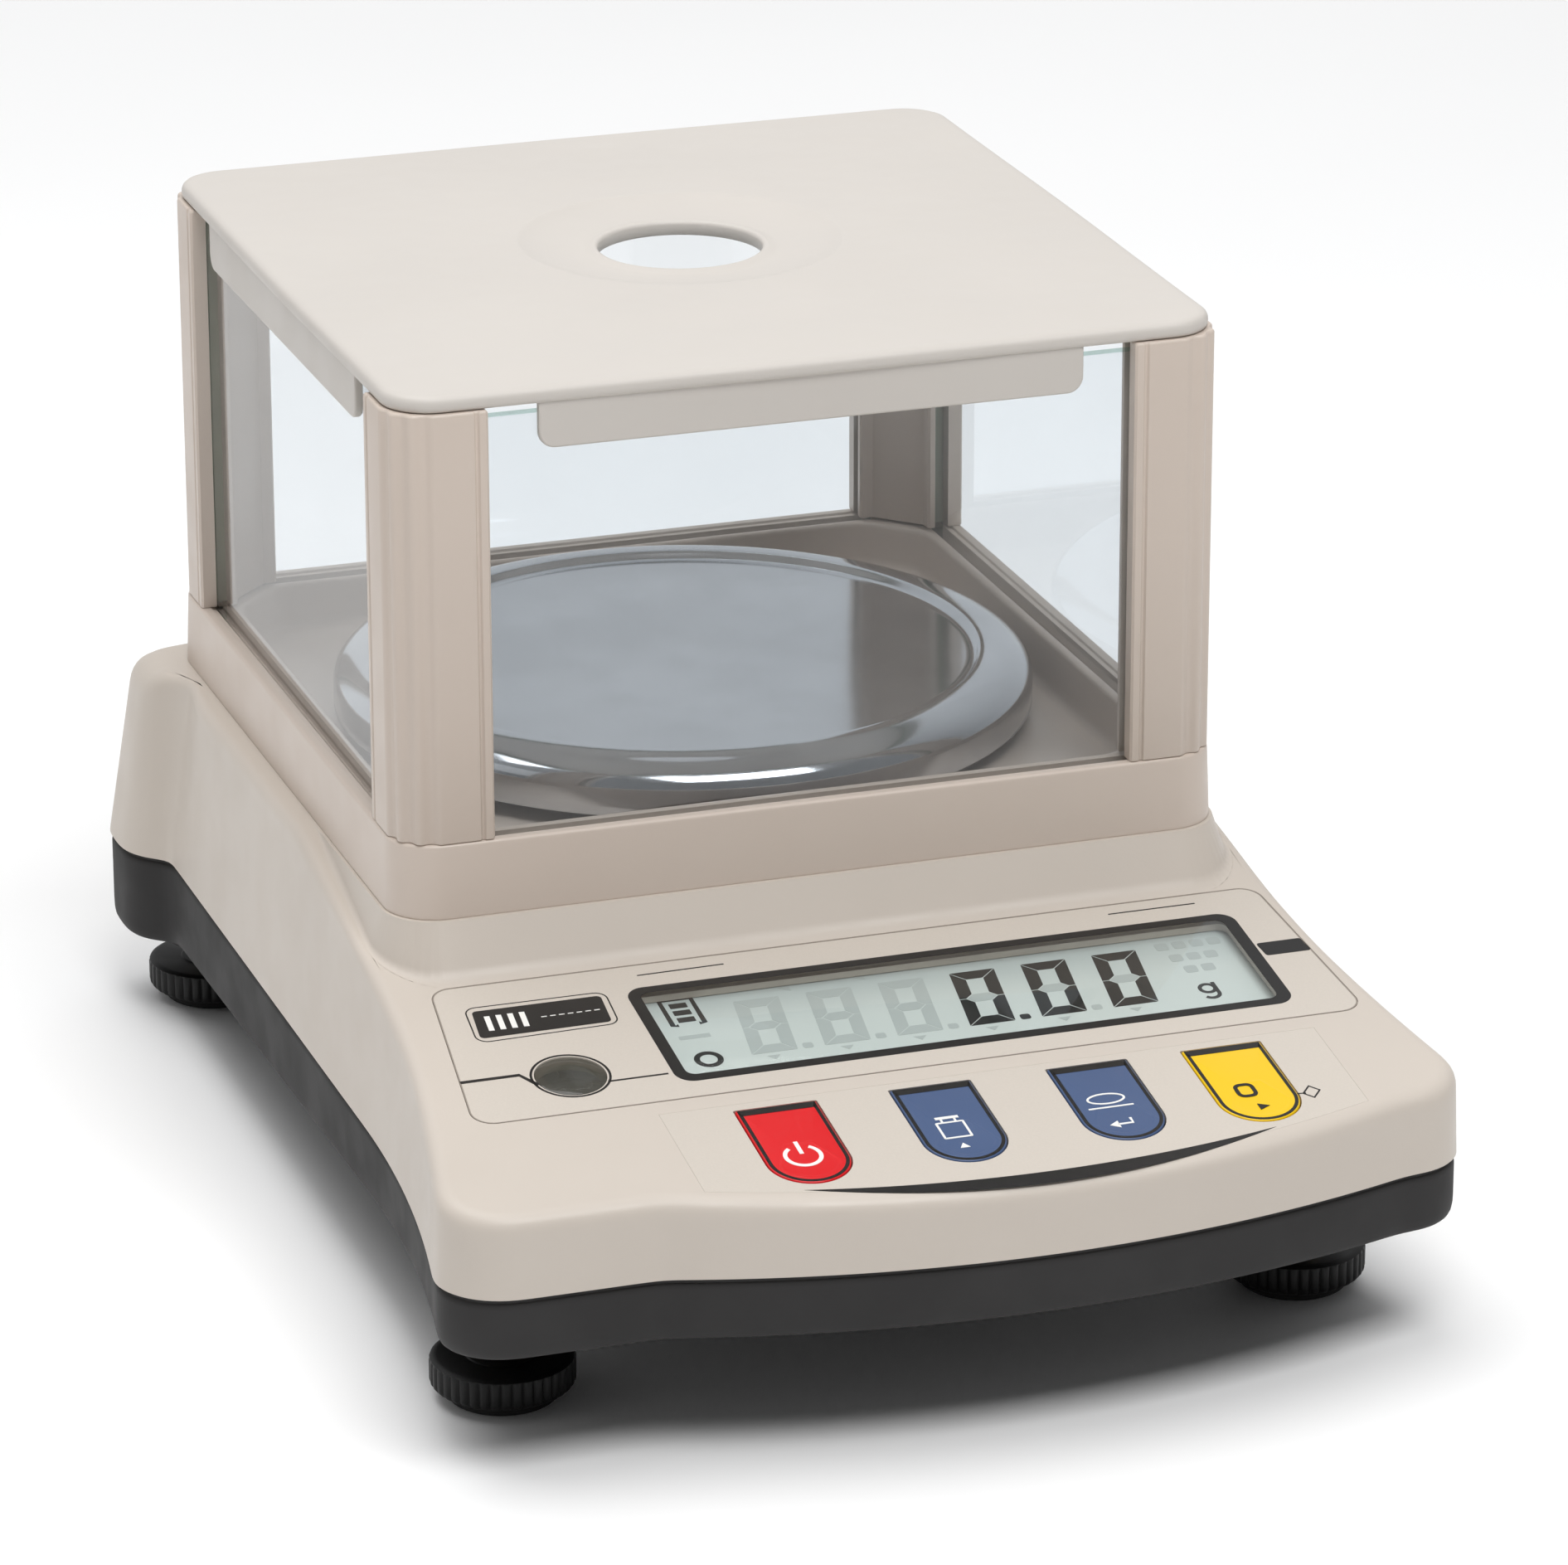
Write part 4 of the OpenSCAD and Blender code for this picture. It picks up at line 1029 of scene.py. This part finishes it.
def build_lid():
    """The lid: a bowed plate with a rounded lip, a crown up to a dish round the hole, and four tabs."""
    half, lip, top = LID_BOX[1].x, LID_UNDER, LID_BOX[1].z
    bow, corner_r, crown_in, crown_from = 0.35, 9, 3, lip + 3.0
    hole_r, dish_r = 15.0, 29.5

    def edge(inset):
        """The lid's outline, its sides slightly bowed between the corners."""
        plain = rounded_square(half - bow - inset, corner_r - min(inset, 8))
        return lambda a: plain(a) + bow * abs(math.cos(2 * a)) ** 2

    def between(f):
        return lambda a: edge(crown_in)(a) * (1 - f) + dish_r * f

    lip_edge = [(4, 0), (0.9, 0), (0.35, 0.15), (0.1, 0.5), (0, 1.1)]
    lip_edge += [(0.05, 1.7), (0.3, 2.3), (0.75, 2.7), (1.4, 2.92)]
    section = [(edge(i), lip + above) for i, above in (*lip_edge, (2.2, 3.0))]
    for f in (0.05, 0.12, 0.22, 0.35, 0.5, 0.65, 0.8, 0.9, 0.96):
        section.append((between(f), crown_from + (top - crown_from) * math.sin(f * math.pi / 2)))
    dish = ((0.3, 0), (-0.1, 0.05), (-0.6, 0.25), (-3.5, 0.95), (-8, 1.6))
    section += [(dish_r + out, top - drop) for out, drop in dish]
    ring = ((3.4, 1.8), (2.2, 1.7), (1.3, 1.35), (0.7, 1.25), (0.2, 1.45), (0, 2.0))
    section += [(hole_r + out, top - drop) for out, drop in ring]
    section += [(hole_r, lip + 0.4), (hole_r + 0.4, lip), (40, lip)]
    angles = square_angles(560, 76.4, corner_r)
    shape = loft([ring_at(angles, r, z) for r, z in section], close=True)
    make_piece("lid_cover", shape, "lid", "lid_cream", ["lid"], sharp=50)
    # the tabs hang inside the posts
    reach, depth, face, thick = 50.0, lip - LID_BOX[0].z, 75.6, 1.6
    tab = filleted([(-reach, -depth, 3.0), (reach, -depth, 3.0), (reach, 0.4, 0), (-reach, 0.4, 0)], 8)
    for quarter, name in enumerate(SIDES):

        def place(x, z, d):
            p = turned([(x, -face + d)], quarter)[0]
            return (p[0], p[1] + PAN_Y, lip + z)

        shape = prism(tab, 0, thick, 0.45, place)
        make_piece("lid_tab_" + name, shape, "lid", "lid_cream", sharp=40, weighted=True)


# ---- pan ----


def build_pan():
    r, z, low = PAN_R, PAN_TOP, PAN_BOX[0].z
    sheet, dip = 0.8, 1.4
    wide, tall = 8.8, 5.2  # the rim's rounding
    floor = z - dip - 0.02
    quarter = [math.pi / 2 * k / 16 for k in range(17)]
    profile = [(r - 0.35, low), (r, low + 0.3), (r, low + 2)]
    profile += [(r - wide + wide * math.cos(a), z - tall + tall * math.sin(a)) for a in quarter]
    step = ((9.4, 0.03), (9.8, 0.18), (10.2, 0.55), (10.5, 0.95), (10.9, 1.25), (11.5, dip))
    profile += [(r - i, z - drop) for i, drop in step] + [(r - 12.5, floor), (r - 30, floor), (2, floor)]
    under = [(2, z - dip - sheet), (r - 12, z - dip - sheet), (r - 11, z - 1.8), (r - 9.8, z - sheet - 0.1)]
    under.append((r - wide, z - sheet))
    for a in quarter[-3:1:-3]:
        under.append((r - wide + (wide - sheet) * math.cos(a), z - tall + (tall - sheet) * math.sin(a)))
    under += [(r - sheet, z - tall), (r - sheet, low + 0.3)]
    shape = loft(lathe(profile + under, (0, PAN_Y), 192), close=True, open_span=len(profile) - 1)
    make_piece("pan_dish", shape, "pan", "pan_steel", ["pan"], sharp=50)


# ---- control panel ----

INK_T = 0.035


def ink(name, shapes, body="housing", material=None, height=0.0, slot="label_print", thick=INK_T):
    """Printed marks, thin and raised. A shape is an outline, or (outline, hole) of equal length."""
    parts = []
    for shape in shapes:
        if isinstance(shape[0][0], tuple):
            outer, inner = shape
            low, high = height, height + thick
            section = ((outer, low), (outer, high), (inner, high), (inner, low))
            parts.append(loft([[panel(x, v, h) for x, v in outline] for outline, h in section], close=True))
        else:
            parts.append(prism(shape, height, height + thick, place=panel))
    return make_piece(name, joined(parts), body, slot, material=material or INK, sharp=30)


def stroke(points, width):
    """Outline of a line of that width through points."""
    left, right = [], []
    for i, p in enumerate(points):
        before, after = Vector(points[max(i - 1, 0)]), Vector(points[min(i + 1, len(points) - 1)])
        t = (after - before).normalized()
        across = Vector((-t.y, t.x)) * width / 2
        left.append(tuple(Vector(p) + across))
        right.append(tuple(Vector(p) - across))
    return right + left[::-1]


def soft_corners(corners, radius, steps):
    return filleted([(x, v, radius) for x, v in corners], steps)


def soft_rect(x0, v0, x1, v1, radius, steps):
    return soft_corners([(x0, v0), (x1, v0), (x1, v1), (x0, v1)], radius, steps)


def rule(x0, x1, v, width):
    return stroke([(x0, v), (x1, v)], width)


def loop(outline, width):
    """A closed outline drawn as a line inside it."""
    return (outline, offset(outline, width))


def ring(x, v, r, width, count=32):
    return loop(circle(x, v, r, count), width)


def bow(a, b, sagitta, steps=36):
    """Arc from a to b that bulges by sagitta."""
    a, b = Vector(a), Vector(b)
    half = (b - a).length / 2
    r = (half * half + sagitta * sagitta) / (2 * abs(sagitta))
    across = (b - a).normalized()
    up = Vector((-across.y, across.x)) * math.copysign(1, sagitta)
    centre = (a + b) / 2 - up * (r - abs(sagitta))
    swing = math.asin(half / r)
    turns = [-swing + 2 * swing * k / steps for k in range(steps + 1)]
    return [tuple(centre + up * r * math.cos(t) + across * r * math.sin(t)) for t in turns]


def build_labels():
    looks = {"sharp": 30, "weighted": True}
    level_hole = pillar(LEVEL_SPOT, LEVEL_R, LEVEL_SPOT[2] - 10, LEVEL_SPOT[2] + 6)
    cutters = [prism(window_outline(0.05), -5, 5, place=panel), level_hole]
    plate = prism(display_label_outline(0.14), -LABEL_T + 0.02, 0, place=panel)
    carve_piece("display_overlay", plate, cutters, "housing", "label_print", ["display_label"], **looks)
    plate = prism(key_label_outline(0.03), -LABEL_T + 0.02, 0, place=panel)
    carve_piece("key_overlay", plate, key_holes(-5, 5), "housing", "label_print", ["key_label"], **looks)
    ink("overlay_outline", [loop(display_label_outline(0.14), 0.22)], material=LINE)
    x0, v0, x1, v1 = WINDOW
    frame_inside = rounded_rect(x0 + 1.9, v0 + 1.8, x1 - 2.1, v1 - 1.6, 1.8, 8)
    ink("window_frame", [(window_outline(0.35), frame_inside)], height=-0.01)
    # the dark tag with its border, the class plate, the line past the level, and rules above and beside
    tag = [(-71.3, -20.7, 2.2), (-45.3, -20.1, 2.2), (-44.7, -9.1, 2.2), (-70.4, -8.9, 2.2)]
    marks = [loop(filleted(tag, 6), 0.25)]
    marks.append(soft_corners([(-70.3, -19.3), (-46.5, -19.1), (-45.9, -10.3), (-69.3, -10.3)], 0.9, 5))
    marks.append(soft_corners([(73.2, -25.3), (81.8, -25.3), (81.3, -20.9), (72.8, -20.9)], 0.6, 4))
    marks.append(stroke([(-77.8, -32.4), (-67.3, -32.4), (-65.0, -36.3)], 0.85))
    marks.append(rule(-53.1, -42.3, -38.0, 0.45))
    marks.append(stroke([(-37.6, -5.3), (-21.6, -5.1)], 0.32))
    marks.append(rule(50.8, 67.4, -4.9, 0.32))
    ink("panel_marks", marks)
    dashes = [rule(-58 + 1.6 * k, -57 + 1.6 * k, -14.8, 0.25) for k in range(7)]
    dashes += [stroke([(-67.6 + 2.1 * k, -17.2), (-67.2 + 2.1 * k, -12.4)], 1.0) for k in range(4)]
    ink("tag_marks", dashes, material=WHITE_INK, height=INK_T)
    ink("level_outline", [[circle(LEVEL_X, LEVEL_V, LEVEL_R + out, 48) for out in (0.75, 0.3)]])
    # crescent under the keys, from two arcs through the same ends
    left, right = (-31.6, -79.2), (53.3, -79.6)
    ink("crescent", [bow(left, right, -7.8) + bow(left, right, -4.2)[::-1]])
    diamond = [(0, -2.2), (2.0, 0.1), (0.4, 2.0), (-1.6, -0.3)]
    ink("zero_mark", [loop(shifted(diamond, 63.3, -70.3), 0.3), stroke([(60.6, -70.4), (62.4, -70.6)], 0.3)])


def build_window():
    shape = prism(window_outline(-0.02), -1.2, -0.01, 0.08, panel)
    make_piece("window_pane", shape, "housing", "window_acrylic", ["display_window"], sharp=30)
    build_lcd()


LCD_H = -2.7  # front of the liquid crystal, below the panel
DIGIT_W, DIGIT_TALL, DIGIT_LEAN, DIGIT_BAR = 5.8, 15.2, 0.13, 2.75
DIGIT_X, DIGIT_V, DIGIT_PITCH = -23.6, -30.1, 13.4


def digit(x, lit):
    """Bars of a seven-segment digit, its lower left corner at x: mitred ends, thin gaps between."""
    b, w, top = DIGIT_BAR / 2, DIGIT_W, DIGIT_TALL
    gap, mid = 0.11, top / 2
    low, high = mid - b, mid + b
    bars = {
        "a": [(b, top - b), (w - b, top - b), (w + b, top + b), (-b, top + b)],
        "d": [(-b, -b), (w + b, -b), (w - b, b), (b, b)],
        "b": [(w - b, top - b), (w - b, high), (w, mid), (w + b, mid), (w + b, top + b)],
        "c": [(w + b, -b), (w + b, mid), (w, mid), (w - b, low), (w - b, b)],
        "f": [(-b, top + b), (-b, mid), (0, mid), (b, high), (b, top - b)],
        "e": [(b, b), (b, low), (0, mid), (-b, mid), (-b, -b)],
        "g": [(b, low), (w - b, low), (w, mid), (w - b, high), (b, high), (0, mid)],
    }
    outlines = [offset(bars[name], gap) for name in lit]
    return [[(x + px + DIGIT_LEAN * (py + b), DIGIT_V + py) for px, py in outline] for outline in outlines]


def build_lcd():
    front = LCD_H + 0.005
    starts = [DIGIT_X + DIGIT_PITCH * k for k in range(6)]
    v = DIGIT_V - DIGIT_BAR / 2 + 0.85
    centres = [s + DIGIT_W + 3.4 for s in starts]
    points = [rounded_rect(x - 0.95, v - 0.85, x + 0.95, v + 0.85, 0.5, 4) for x in centres]
    lit = [points[3]]
    for x in starts[3:]:
        lit += digit(x, "abcdef")
    lit.append(ring(-32.6, -31.0, 2.6, 1.05))
    # unit: a small g
    x, v = 60.6, -29.2
    lit += [ring(x, v, 1.75, 0.75), stroke([(x + 1.5, v + 1.8), (x + 1.5, v - 1.9)], 0.75)]
    hook = [-math.pi * k / 10 for k in range(9)]
    lit.append(stroke([(x + 1.5 * math.cos(a), v - 1.9 + 1.4 * math.sin(a)) for a in hook], 0.75))
    # battery: an open case, its cap and three bars
    case = [(-34.2, -19.0), (-35.2, -19.0), (-35.2, -10.6), (-29.4, -10.6), (-29.4, -19.0), (-30.4, -19.0)]
    lit += [stroke(case, 0.95), rounded_rect(-33.6, -10.2, -31.0, -9.4, 0.2, 2)]
    lit += [rounded_rect(-33.9, -18.2 + 2.4 * k, -30.7, -16.6 + 2.4 * k, 0.1, 2) for k in range(3)]
    ink("lcd_lit", lit, material=SEGMENT, height=front, slot="lcd_grey")
    # unlit: three digits, middle bars, points, pointers, the minus sign, a block list of units, side pointers
    ghost = [points[k] for k in (0, 1, 2, 4)]
    for k, x in enumerate(starts):
        ghost += digit(x, "abcdefg" if k < 3 else "g")
    under = DIGIT_V - 3.6
    ghost += [[(x + 2.4, under), (x + 3.6, under + 1.3), (x + 1.2, under + 1.3)] for x in starts]
    ghost.append(rounded_rect(-35.5, -23.8, -29.8, -22.6, 0.1, 2))
    for row, k in ((row, k) for row in range(3) for k in range(4 - row)):
        x, v = 56.6 + 3.3 * k + 1.2 * row, -12.6 - 4.2 * row
        ghost.append(rounded_rect(x, v - 2.4, x + 2.4, v, 0.5, 3))
    for x, v in ((-13.6, -11.2), (0.4, -10.8), (26.4, -10.4)):
        ghost.append([(x, v), (x + 2.2, v - 1.1), (x + 2.2, v + 1.1)])
    ink("lcd_unlit", ghost, material=GHOST, height=front - 0.002, slot="lcd_grey")


def power_icon(x, v):
    x, v = x - 0.5, v + 1.2
    outer, inner = (arc(x, v, r, 125, 415, 40) for r in (3.45, 2.7))
    return [outer + inner[::-1], stroke([(x, v + 0.6), (x, v + 4.5)], 0.75)]


def weight_icon(x, v):
    x, v = x - 0.8, v + 2.9
    body = soft_rect(x - 2.6, v - 2.7, x + 2.6, v + 2.6, 0.3, 4)
    neck = [stroke([(x + side, v + 2.6), (x + side, v + 3.6)], 0.4) for side in (-1.2, 1.2)]
    knob = rule(x - 2.1, x + 2.1, v + 3.9, 0.75)
    return [loop(body, 0.42), *neck, knob, [(x - 0.9, v - 5.9), (x + 0.9, v - 5.9), (x, v - 4.4)]]


def unit_icon(x, v):
    x, v = x - 0.8, v + 3.3
    oval = [(x + 3.5 * math.cos(a), v + 2.7 + 1.75 * math.sin(a)) for a in directions(40)]
    arrow = [stroke([(x + 1.9, v - 4.0), (x + 1.9, v - 5.6), (x - 0.8, v - 5.6)], 0.5)]
    arrow.append([(x - 0.6, v - 6.7), (x - 0.6, v - 4.5), (x - 2.3, v - 5.6)])
    return [loop(oval, 0.4), rule(x - 4.1, x + 4.1, v, 0.4), *arrow]


def tare_icon(x, v):
    zero = soft_rect(x - 3.1, v + 0.6, x + 0.7, v + 5.0, 1.4, 5)
    return [loop(zero, 0.75), [(x - 0.9, v - 3.8), (x + 1.1, v - 2.8), (x - 0.9, v - 1.8)]]


def build_keys():
    icons = [power_icon, weight_icon, unit_icon, tare_icon]
    slots = ["key_red", "key_blue", "key_blue", "key_yellow"]
    face = 0.15
    section = [(-0.8, -3.6), (-0.8, -2.8), (0, -2.8), (0, -0.25), (0.06, -0.02)]
    section += [(0.2, face - 0.04), (0.4, face)]
    # the round end carries a shallow raised ring for the finger
    finger = ((6.4, 0), (6.2, 0.01), (6.0, 0.05), (5.7, 0.07), (5.4, 0.05), (5.2, 0.01), (5.0, 0))
    for key, x, icon, slot in zip(KEYS, KEY_X, icons, slots):
        outline = key_outline(x)
        rings = [[panel(a, b, h) for a, b in offset(outline, i)] for i, h in section]
        angles = [math.atan2(b - KEY_ROUND_V - 2.2, a - x) for a, b in outline]
        for r, above in finger:
            round_end = [(x + r * math.cos(a), KEY_ROUND_V + r * math.sin(a)) for a in angles]
            rings.append([panel(a, b, face + above) for a, b in round_end])
        make_piece(key + "_cap", loft(rings), key, slot, [key], sharp=40)
        border = (offset(outline, 0.3), offset(key_outline(x, 0, 1.1), 0.95))
        ink(key + "_border", [border], key, INK, face - 0.05, slot, 0.08)
        mark = INK if key == "key_tare" else WHITE_INK
        ink(key + "_icon", icon(x, KEY_ROUND_V), key, mark, face - 0.01, slot, 0.1)


def build_level():
    """Spirit level: cup, vial on a pale dial with its target circle, the window over it, and the bubble."""
    x, y, z = LEVEL_SPOT
    r = LEVEL_R
    cup = [(r + 1.1, -3.6), (r + 1.1, -11.6), (r + 0.6, -12), (0.5, -12), (0.5, -11)]
    cup += [(r - 0.05, -11), (r - 0.05, -3.6)]
    vial = [(0.2, -10.9), (r - 0.5, -10.9), (r - 0.15, -10.5), (r - 0.15, -4.9)]
    vial += [(r - 0.6, -4.4), (r - 2.5, -4.2)]
    dial = [(0.2, -10.85), (r - 0.7, -10.85), (r - 0.7, -10.6), (0.2, -10.6)]
    target = [(2.3, -4.1), (2.3, -3.95), (2.6, -3.95), (2.6, -4.1)]
    grey = printed("dial_grey", srgb("#C9CCC8"))

    def turn(profile, segments=64, close=False, at=(x, y, z)):
        return turned_solid([(radius, at[2] + h) for radius, h in profile], at, segments, close)

    make_piece("level_cup_wall", turn(cup, close=True), "housing", "cup_dark", ["level_cup"], sharp=40)
    make_piece("level_lens", turn([*vial, (0.2, -4.1)]), "housing", "vial_clear", ["level_vial"], sharp=40)
    make_piece("level_dial", turn(dial), "housing", "vial_clear", material=grey, sharp=30)
    make_piece("level_circle", turn(target, 48, True), "housing", "cup_dark", material=INK, sharp=30)
    window = ((r - 0.1, -1.0), (r - 0.1, -0.2), (r - 0.25, -0.08), (3.5, -0.04), (0.2, -0.03))
    rings = [[panel(a, b, h) for a, b in circle(LEVEL_X, LEVEL_V, radius, 64)] for radius, h in window]
    make_piece("level_window", loft(rings), "housing", "vial_clear", material=LEVEL_GLASS, sharp=40)
    bubble = [(0.2, -0.8), (1.4, -0.7), (1.9, -0.2), (2.0, 0.2), (1.7, 0.6), (0.2, 0.8)]
    shape = turn(bubble, 40, at=middle(box_mm("level_bubble")))
    make_piece("level_air", shape, "housing", "vial_clear", ["level_bubble"], sharp=60)


# ---- feet, jack and screws ----


def build_feet():
    flutes, flute_depth, top = 40, 0.035, 7.9
    for name in ("front_left", "front_right", "rear_left", "rear_right"):
        low, high = box_mm("foot_knob_" + name)
        centre, r, z0 = middle((low, high)), (high.x - low.x) / 2, low.z

        def knurl(a, rr, z):
            if rr < r - 1.2 or z < z0 + 0.9 or z > top - 0.5:
                return 1.0
            return 1 - flute_depth * (0.5 + 0.5 * math.cos(flutes * a)) ** 3

        profile = [(0.3, z0 + 0.1), (3, z0 + 0.1), (r - 2.6, z0 + 0.1)]
        profile += [(r - 1.6, z0 + 0.3), (r - 0.6, z0 + 0.9)]
        profile += [(r - 0.12, z0 + 1.5), (r, z0 + 2.0), (r, top - 0.9)]
        profile += [(r - 0.2, top - 0.4), (r - 0.7, top - 0.1)]
        profile += [(r - 1.4, top), (6.5, top), (6.2, top + 0.2), (3.0, top + 0.2), (3.0, high.z - 0.6)]
        profile += [(2.4, high.z), (0.3, high.z)]
        knob = "foot_knob_" + name
        shape = loft(lathe(profile, centre, 320, knurl))
        make_piece("knurled_" + knob[5:], shape, knob, "foot_black", [knob], sharp=32)
        low, high = box_mm("foot_pad_" + name)
        centre, r, top_z = middle((low, high)), (high.x - low.x) / 2, high.z
        profile = [(0.3, 0.35), (r - 4, 0.35), (r - 3.4, 0.0), (r - 0.5, 0.0), (r - 0.1, 0.25), (r, 0.7)]
        profile += [(r, top_z - 0.2), (r - 0.3, top_z), (0.3, top_z)]
        pad = "foot_pad_" + name
        shape = turned_solid(profile, centre, 80)
        make_piece("rubber_" + pad[5:], shape, pad, "foot_rubber", [pad], sharp=40)


def screw(spot, head_r, head_h, shank_r, z_head, z_tip):
    """A pan-head cross screw pointing up, its head below z_head, its shank up to z_tip; and its cutters."""
    z0, pitch = z_head - head_h, 0.9
    profile = [(0.2, z0), (head_r * 0.45, z0 + 0.05), (head_r * 0.8, z_head - head_h * 0.72)]
    profile += [(head_r, z_head - head_h * 0.3), (head_r, z_head - 0.05)]
    profile += [(head_r - 0.1, z_head), (shank_r, z_head)]
    z = z_head + 0.4
    while z < z_tip - 1.2:
        profile += [(shank_r - 0.25, z), (shank_r, z + pitch / 2)]
        z += pitch
    profile += [(shank_r - 0.3, z_tip - 0.6), (0.3, z_tip)]
    arm, half = head_r * 0.62, head_r * 0.2 / 2
    slot = [(-arm, -half), (arm, -half), (arm, half), (-arm, half)]
    outlines = [shifted(turned(slot, quarter), spot[0], spot[1]) for quarter in (0, 1)]
    return turned_solid(profile, spot, 40), [prism(o, z0 - 1, z0 + head_h * 0.75) for o in outlines]


def build_tray_screws():
    """The screws seen from below: six that hold the housing, four that hold the chassis plate."""
    for node, head_r, head_h, shank_r in (("housing_screws", 3.2, 2.4, 1.5), ("chassis_screws", 3.6, 2.2, 2)):
        for i, box in enumerate(islands(node)):
            shape, cutters = screw(middle(box), head_r, head_h, shank_r, box[0].z + head_h, box[1].z)
            carve_piece(f"{node[:-1]}_{i + 1}", shape, cutters, "housing", "zinc_steel", [node], sharp=35)


def build_jack():
    """Round bezel of the power inlet in the rear wall, with its barrel and centre pin."""
    spot, face = middle(JACK_BOX), JACK_BOX[1].y
    profile = [(4.1, 9), (4.1, 0.3), (3.8, 0), (3.1, 0), (2.85, 0.3), (2.85, 9.4), (1.05, 9.4), (1.05, 1.4)]
    profile += [(0.7, 0.9), (0.2, 0.9), (0.2, 10)]
    rings = [[(x, face - depth, z) for x, z in circle(spot.x, spot.z, r, 64)] for r, depth in profile]
    make_piece("jack_barrel", loft(rings, close=True), "housing", "chip_black", sharp=40)


# ---- stage ----


def area_light(name, place, aim, size, power, colour=(1, 1, 1)):
    data = bpy.data.lights.new(name, "AREA")
    data.shape = "RECTANGLE"
    data.size, data.size_y = size
    data.energy = power
    data.color = colour
    lamp = add_object(name, data)
    lamp.location = place
    lamp.rotation_mode = "QUATERNION"
    lamp.rotation_quaternion = (Vector(place) - Vector(aim)).to_track_quat("Z", "Y")


def build_floor():
    """A wide white floor, which is clear from below so that the underside can be seen."""
    size = 30.0
    mesh = bpy.data.meshes.new("floor")
    corners = [(-size, -size, 0), (size, -size, 0), (size, size, 0), (-size, size, 0)]
    mesh.from_pydata(corners, [], [(0, 1, 2, 3)])
    n = Nodes("floor_white")
    base = n.mix_colour(n.remap(n.noise(3, 2), 0, 1), (0.95, 0.95, 0.95, 1), (0.97, 0.97, 0.97, 1))
    above = n.add("ShaderNodeBsdfPrincipled", Base_Color=base, Roughness=0.6, Specular_IOR_Level=0.2)
    below = n.add("ShaderNodeBsdfTransparent", Color=(1, 1, 1, 1))
    backfacing = n.add("ShaderNodeNewGeometry").outputs["Backfacing"]
    mesh.materials.append(n.finish(n.mix_shader(backfacing, above, below)))
    add_object("floor", mesh)


def build_stage():
    build_floor()
    # the world glows more towards the rear, where the glass and the pan mirror it
    world = bpy.data.worlds.new("studio")
    world.use_nodes = True
    tree = world.node_tree
    toward = tree.nodes.new("ShaderNodeTexCoord").outputs["Generated"]
    split = tree.nodes.new("ShaderNodeSeparateXYZ")
    glow = tree.nodes.new("ShaderNodeMapRange")
    tree.links.new(toward, split.inputs[0])
    tree.links.new(split.outputs["Y"], glow.inputs["Value"])
    for key, value in (("From Min", -0.3), ("From Max", 0.85), ("To Min", 0.15), ("To Max", 0.68)):
        glow.inputs[key].default_value = value
    tree.links.new(glow.outputs["Result"], tree.nodes["Background"].inputs["Strength"])
    tree.nodes["Background"].inputs["Color"].default_value = (0.985, 0.99, 1.0, 1)
    bpy.context.scene.world = world
    aim = (0, 0, 0.08)
    area_light("key", (0.15, -1.05, 2.05), aim, (1.4, 0.9), 31)
    area_light("overhead", (-0.35, 0.35, 2.3), aim, (1.6, 1.6), 27)
    area_light("left_soft", (-1.9, -0.2, 1.2), aim, (1.2, 1.0), 1.2, (1.0, 0.98, 0.95))
    scene = bpy.context.scene
    scene.view_settings.view_transform = "Standard"
    scene.view_settings.look = "None"
    scene.cycles.max_bounces = 10
    scene.cycles.transparent_max_bounces = 16


build_stage()
build_housing()
build_tray()
build_door()
build_collar()
build_posts()
build_panes()
build_lid()
build_pan()
build_labels()
build_window()
build_keys()
build_level()
build_feet()
build_tray_screws()
build_jack()
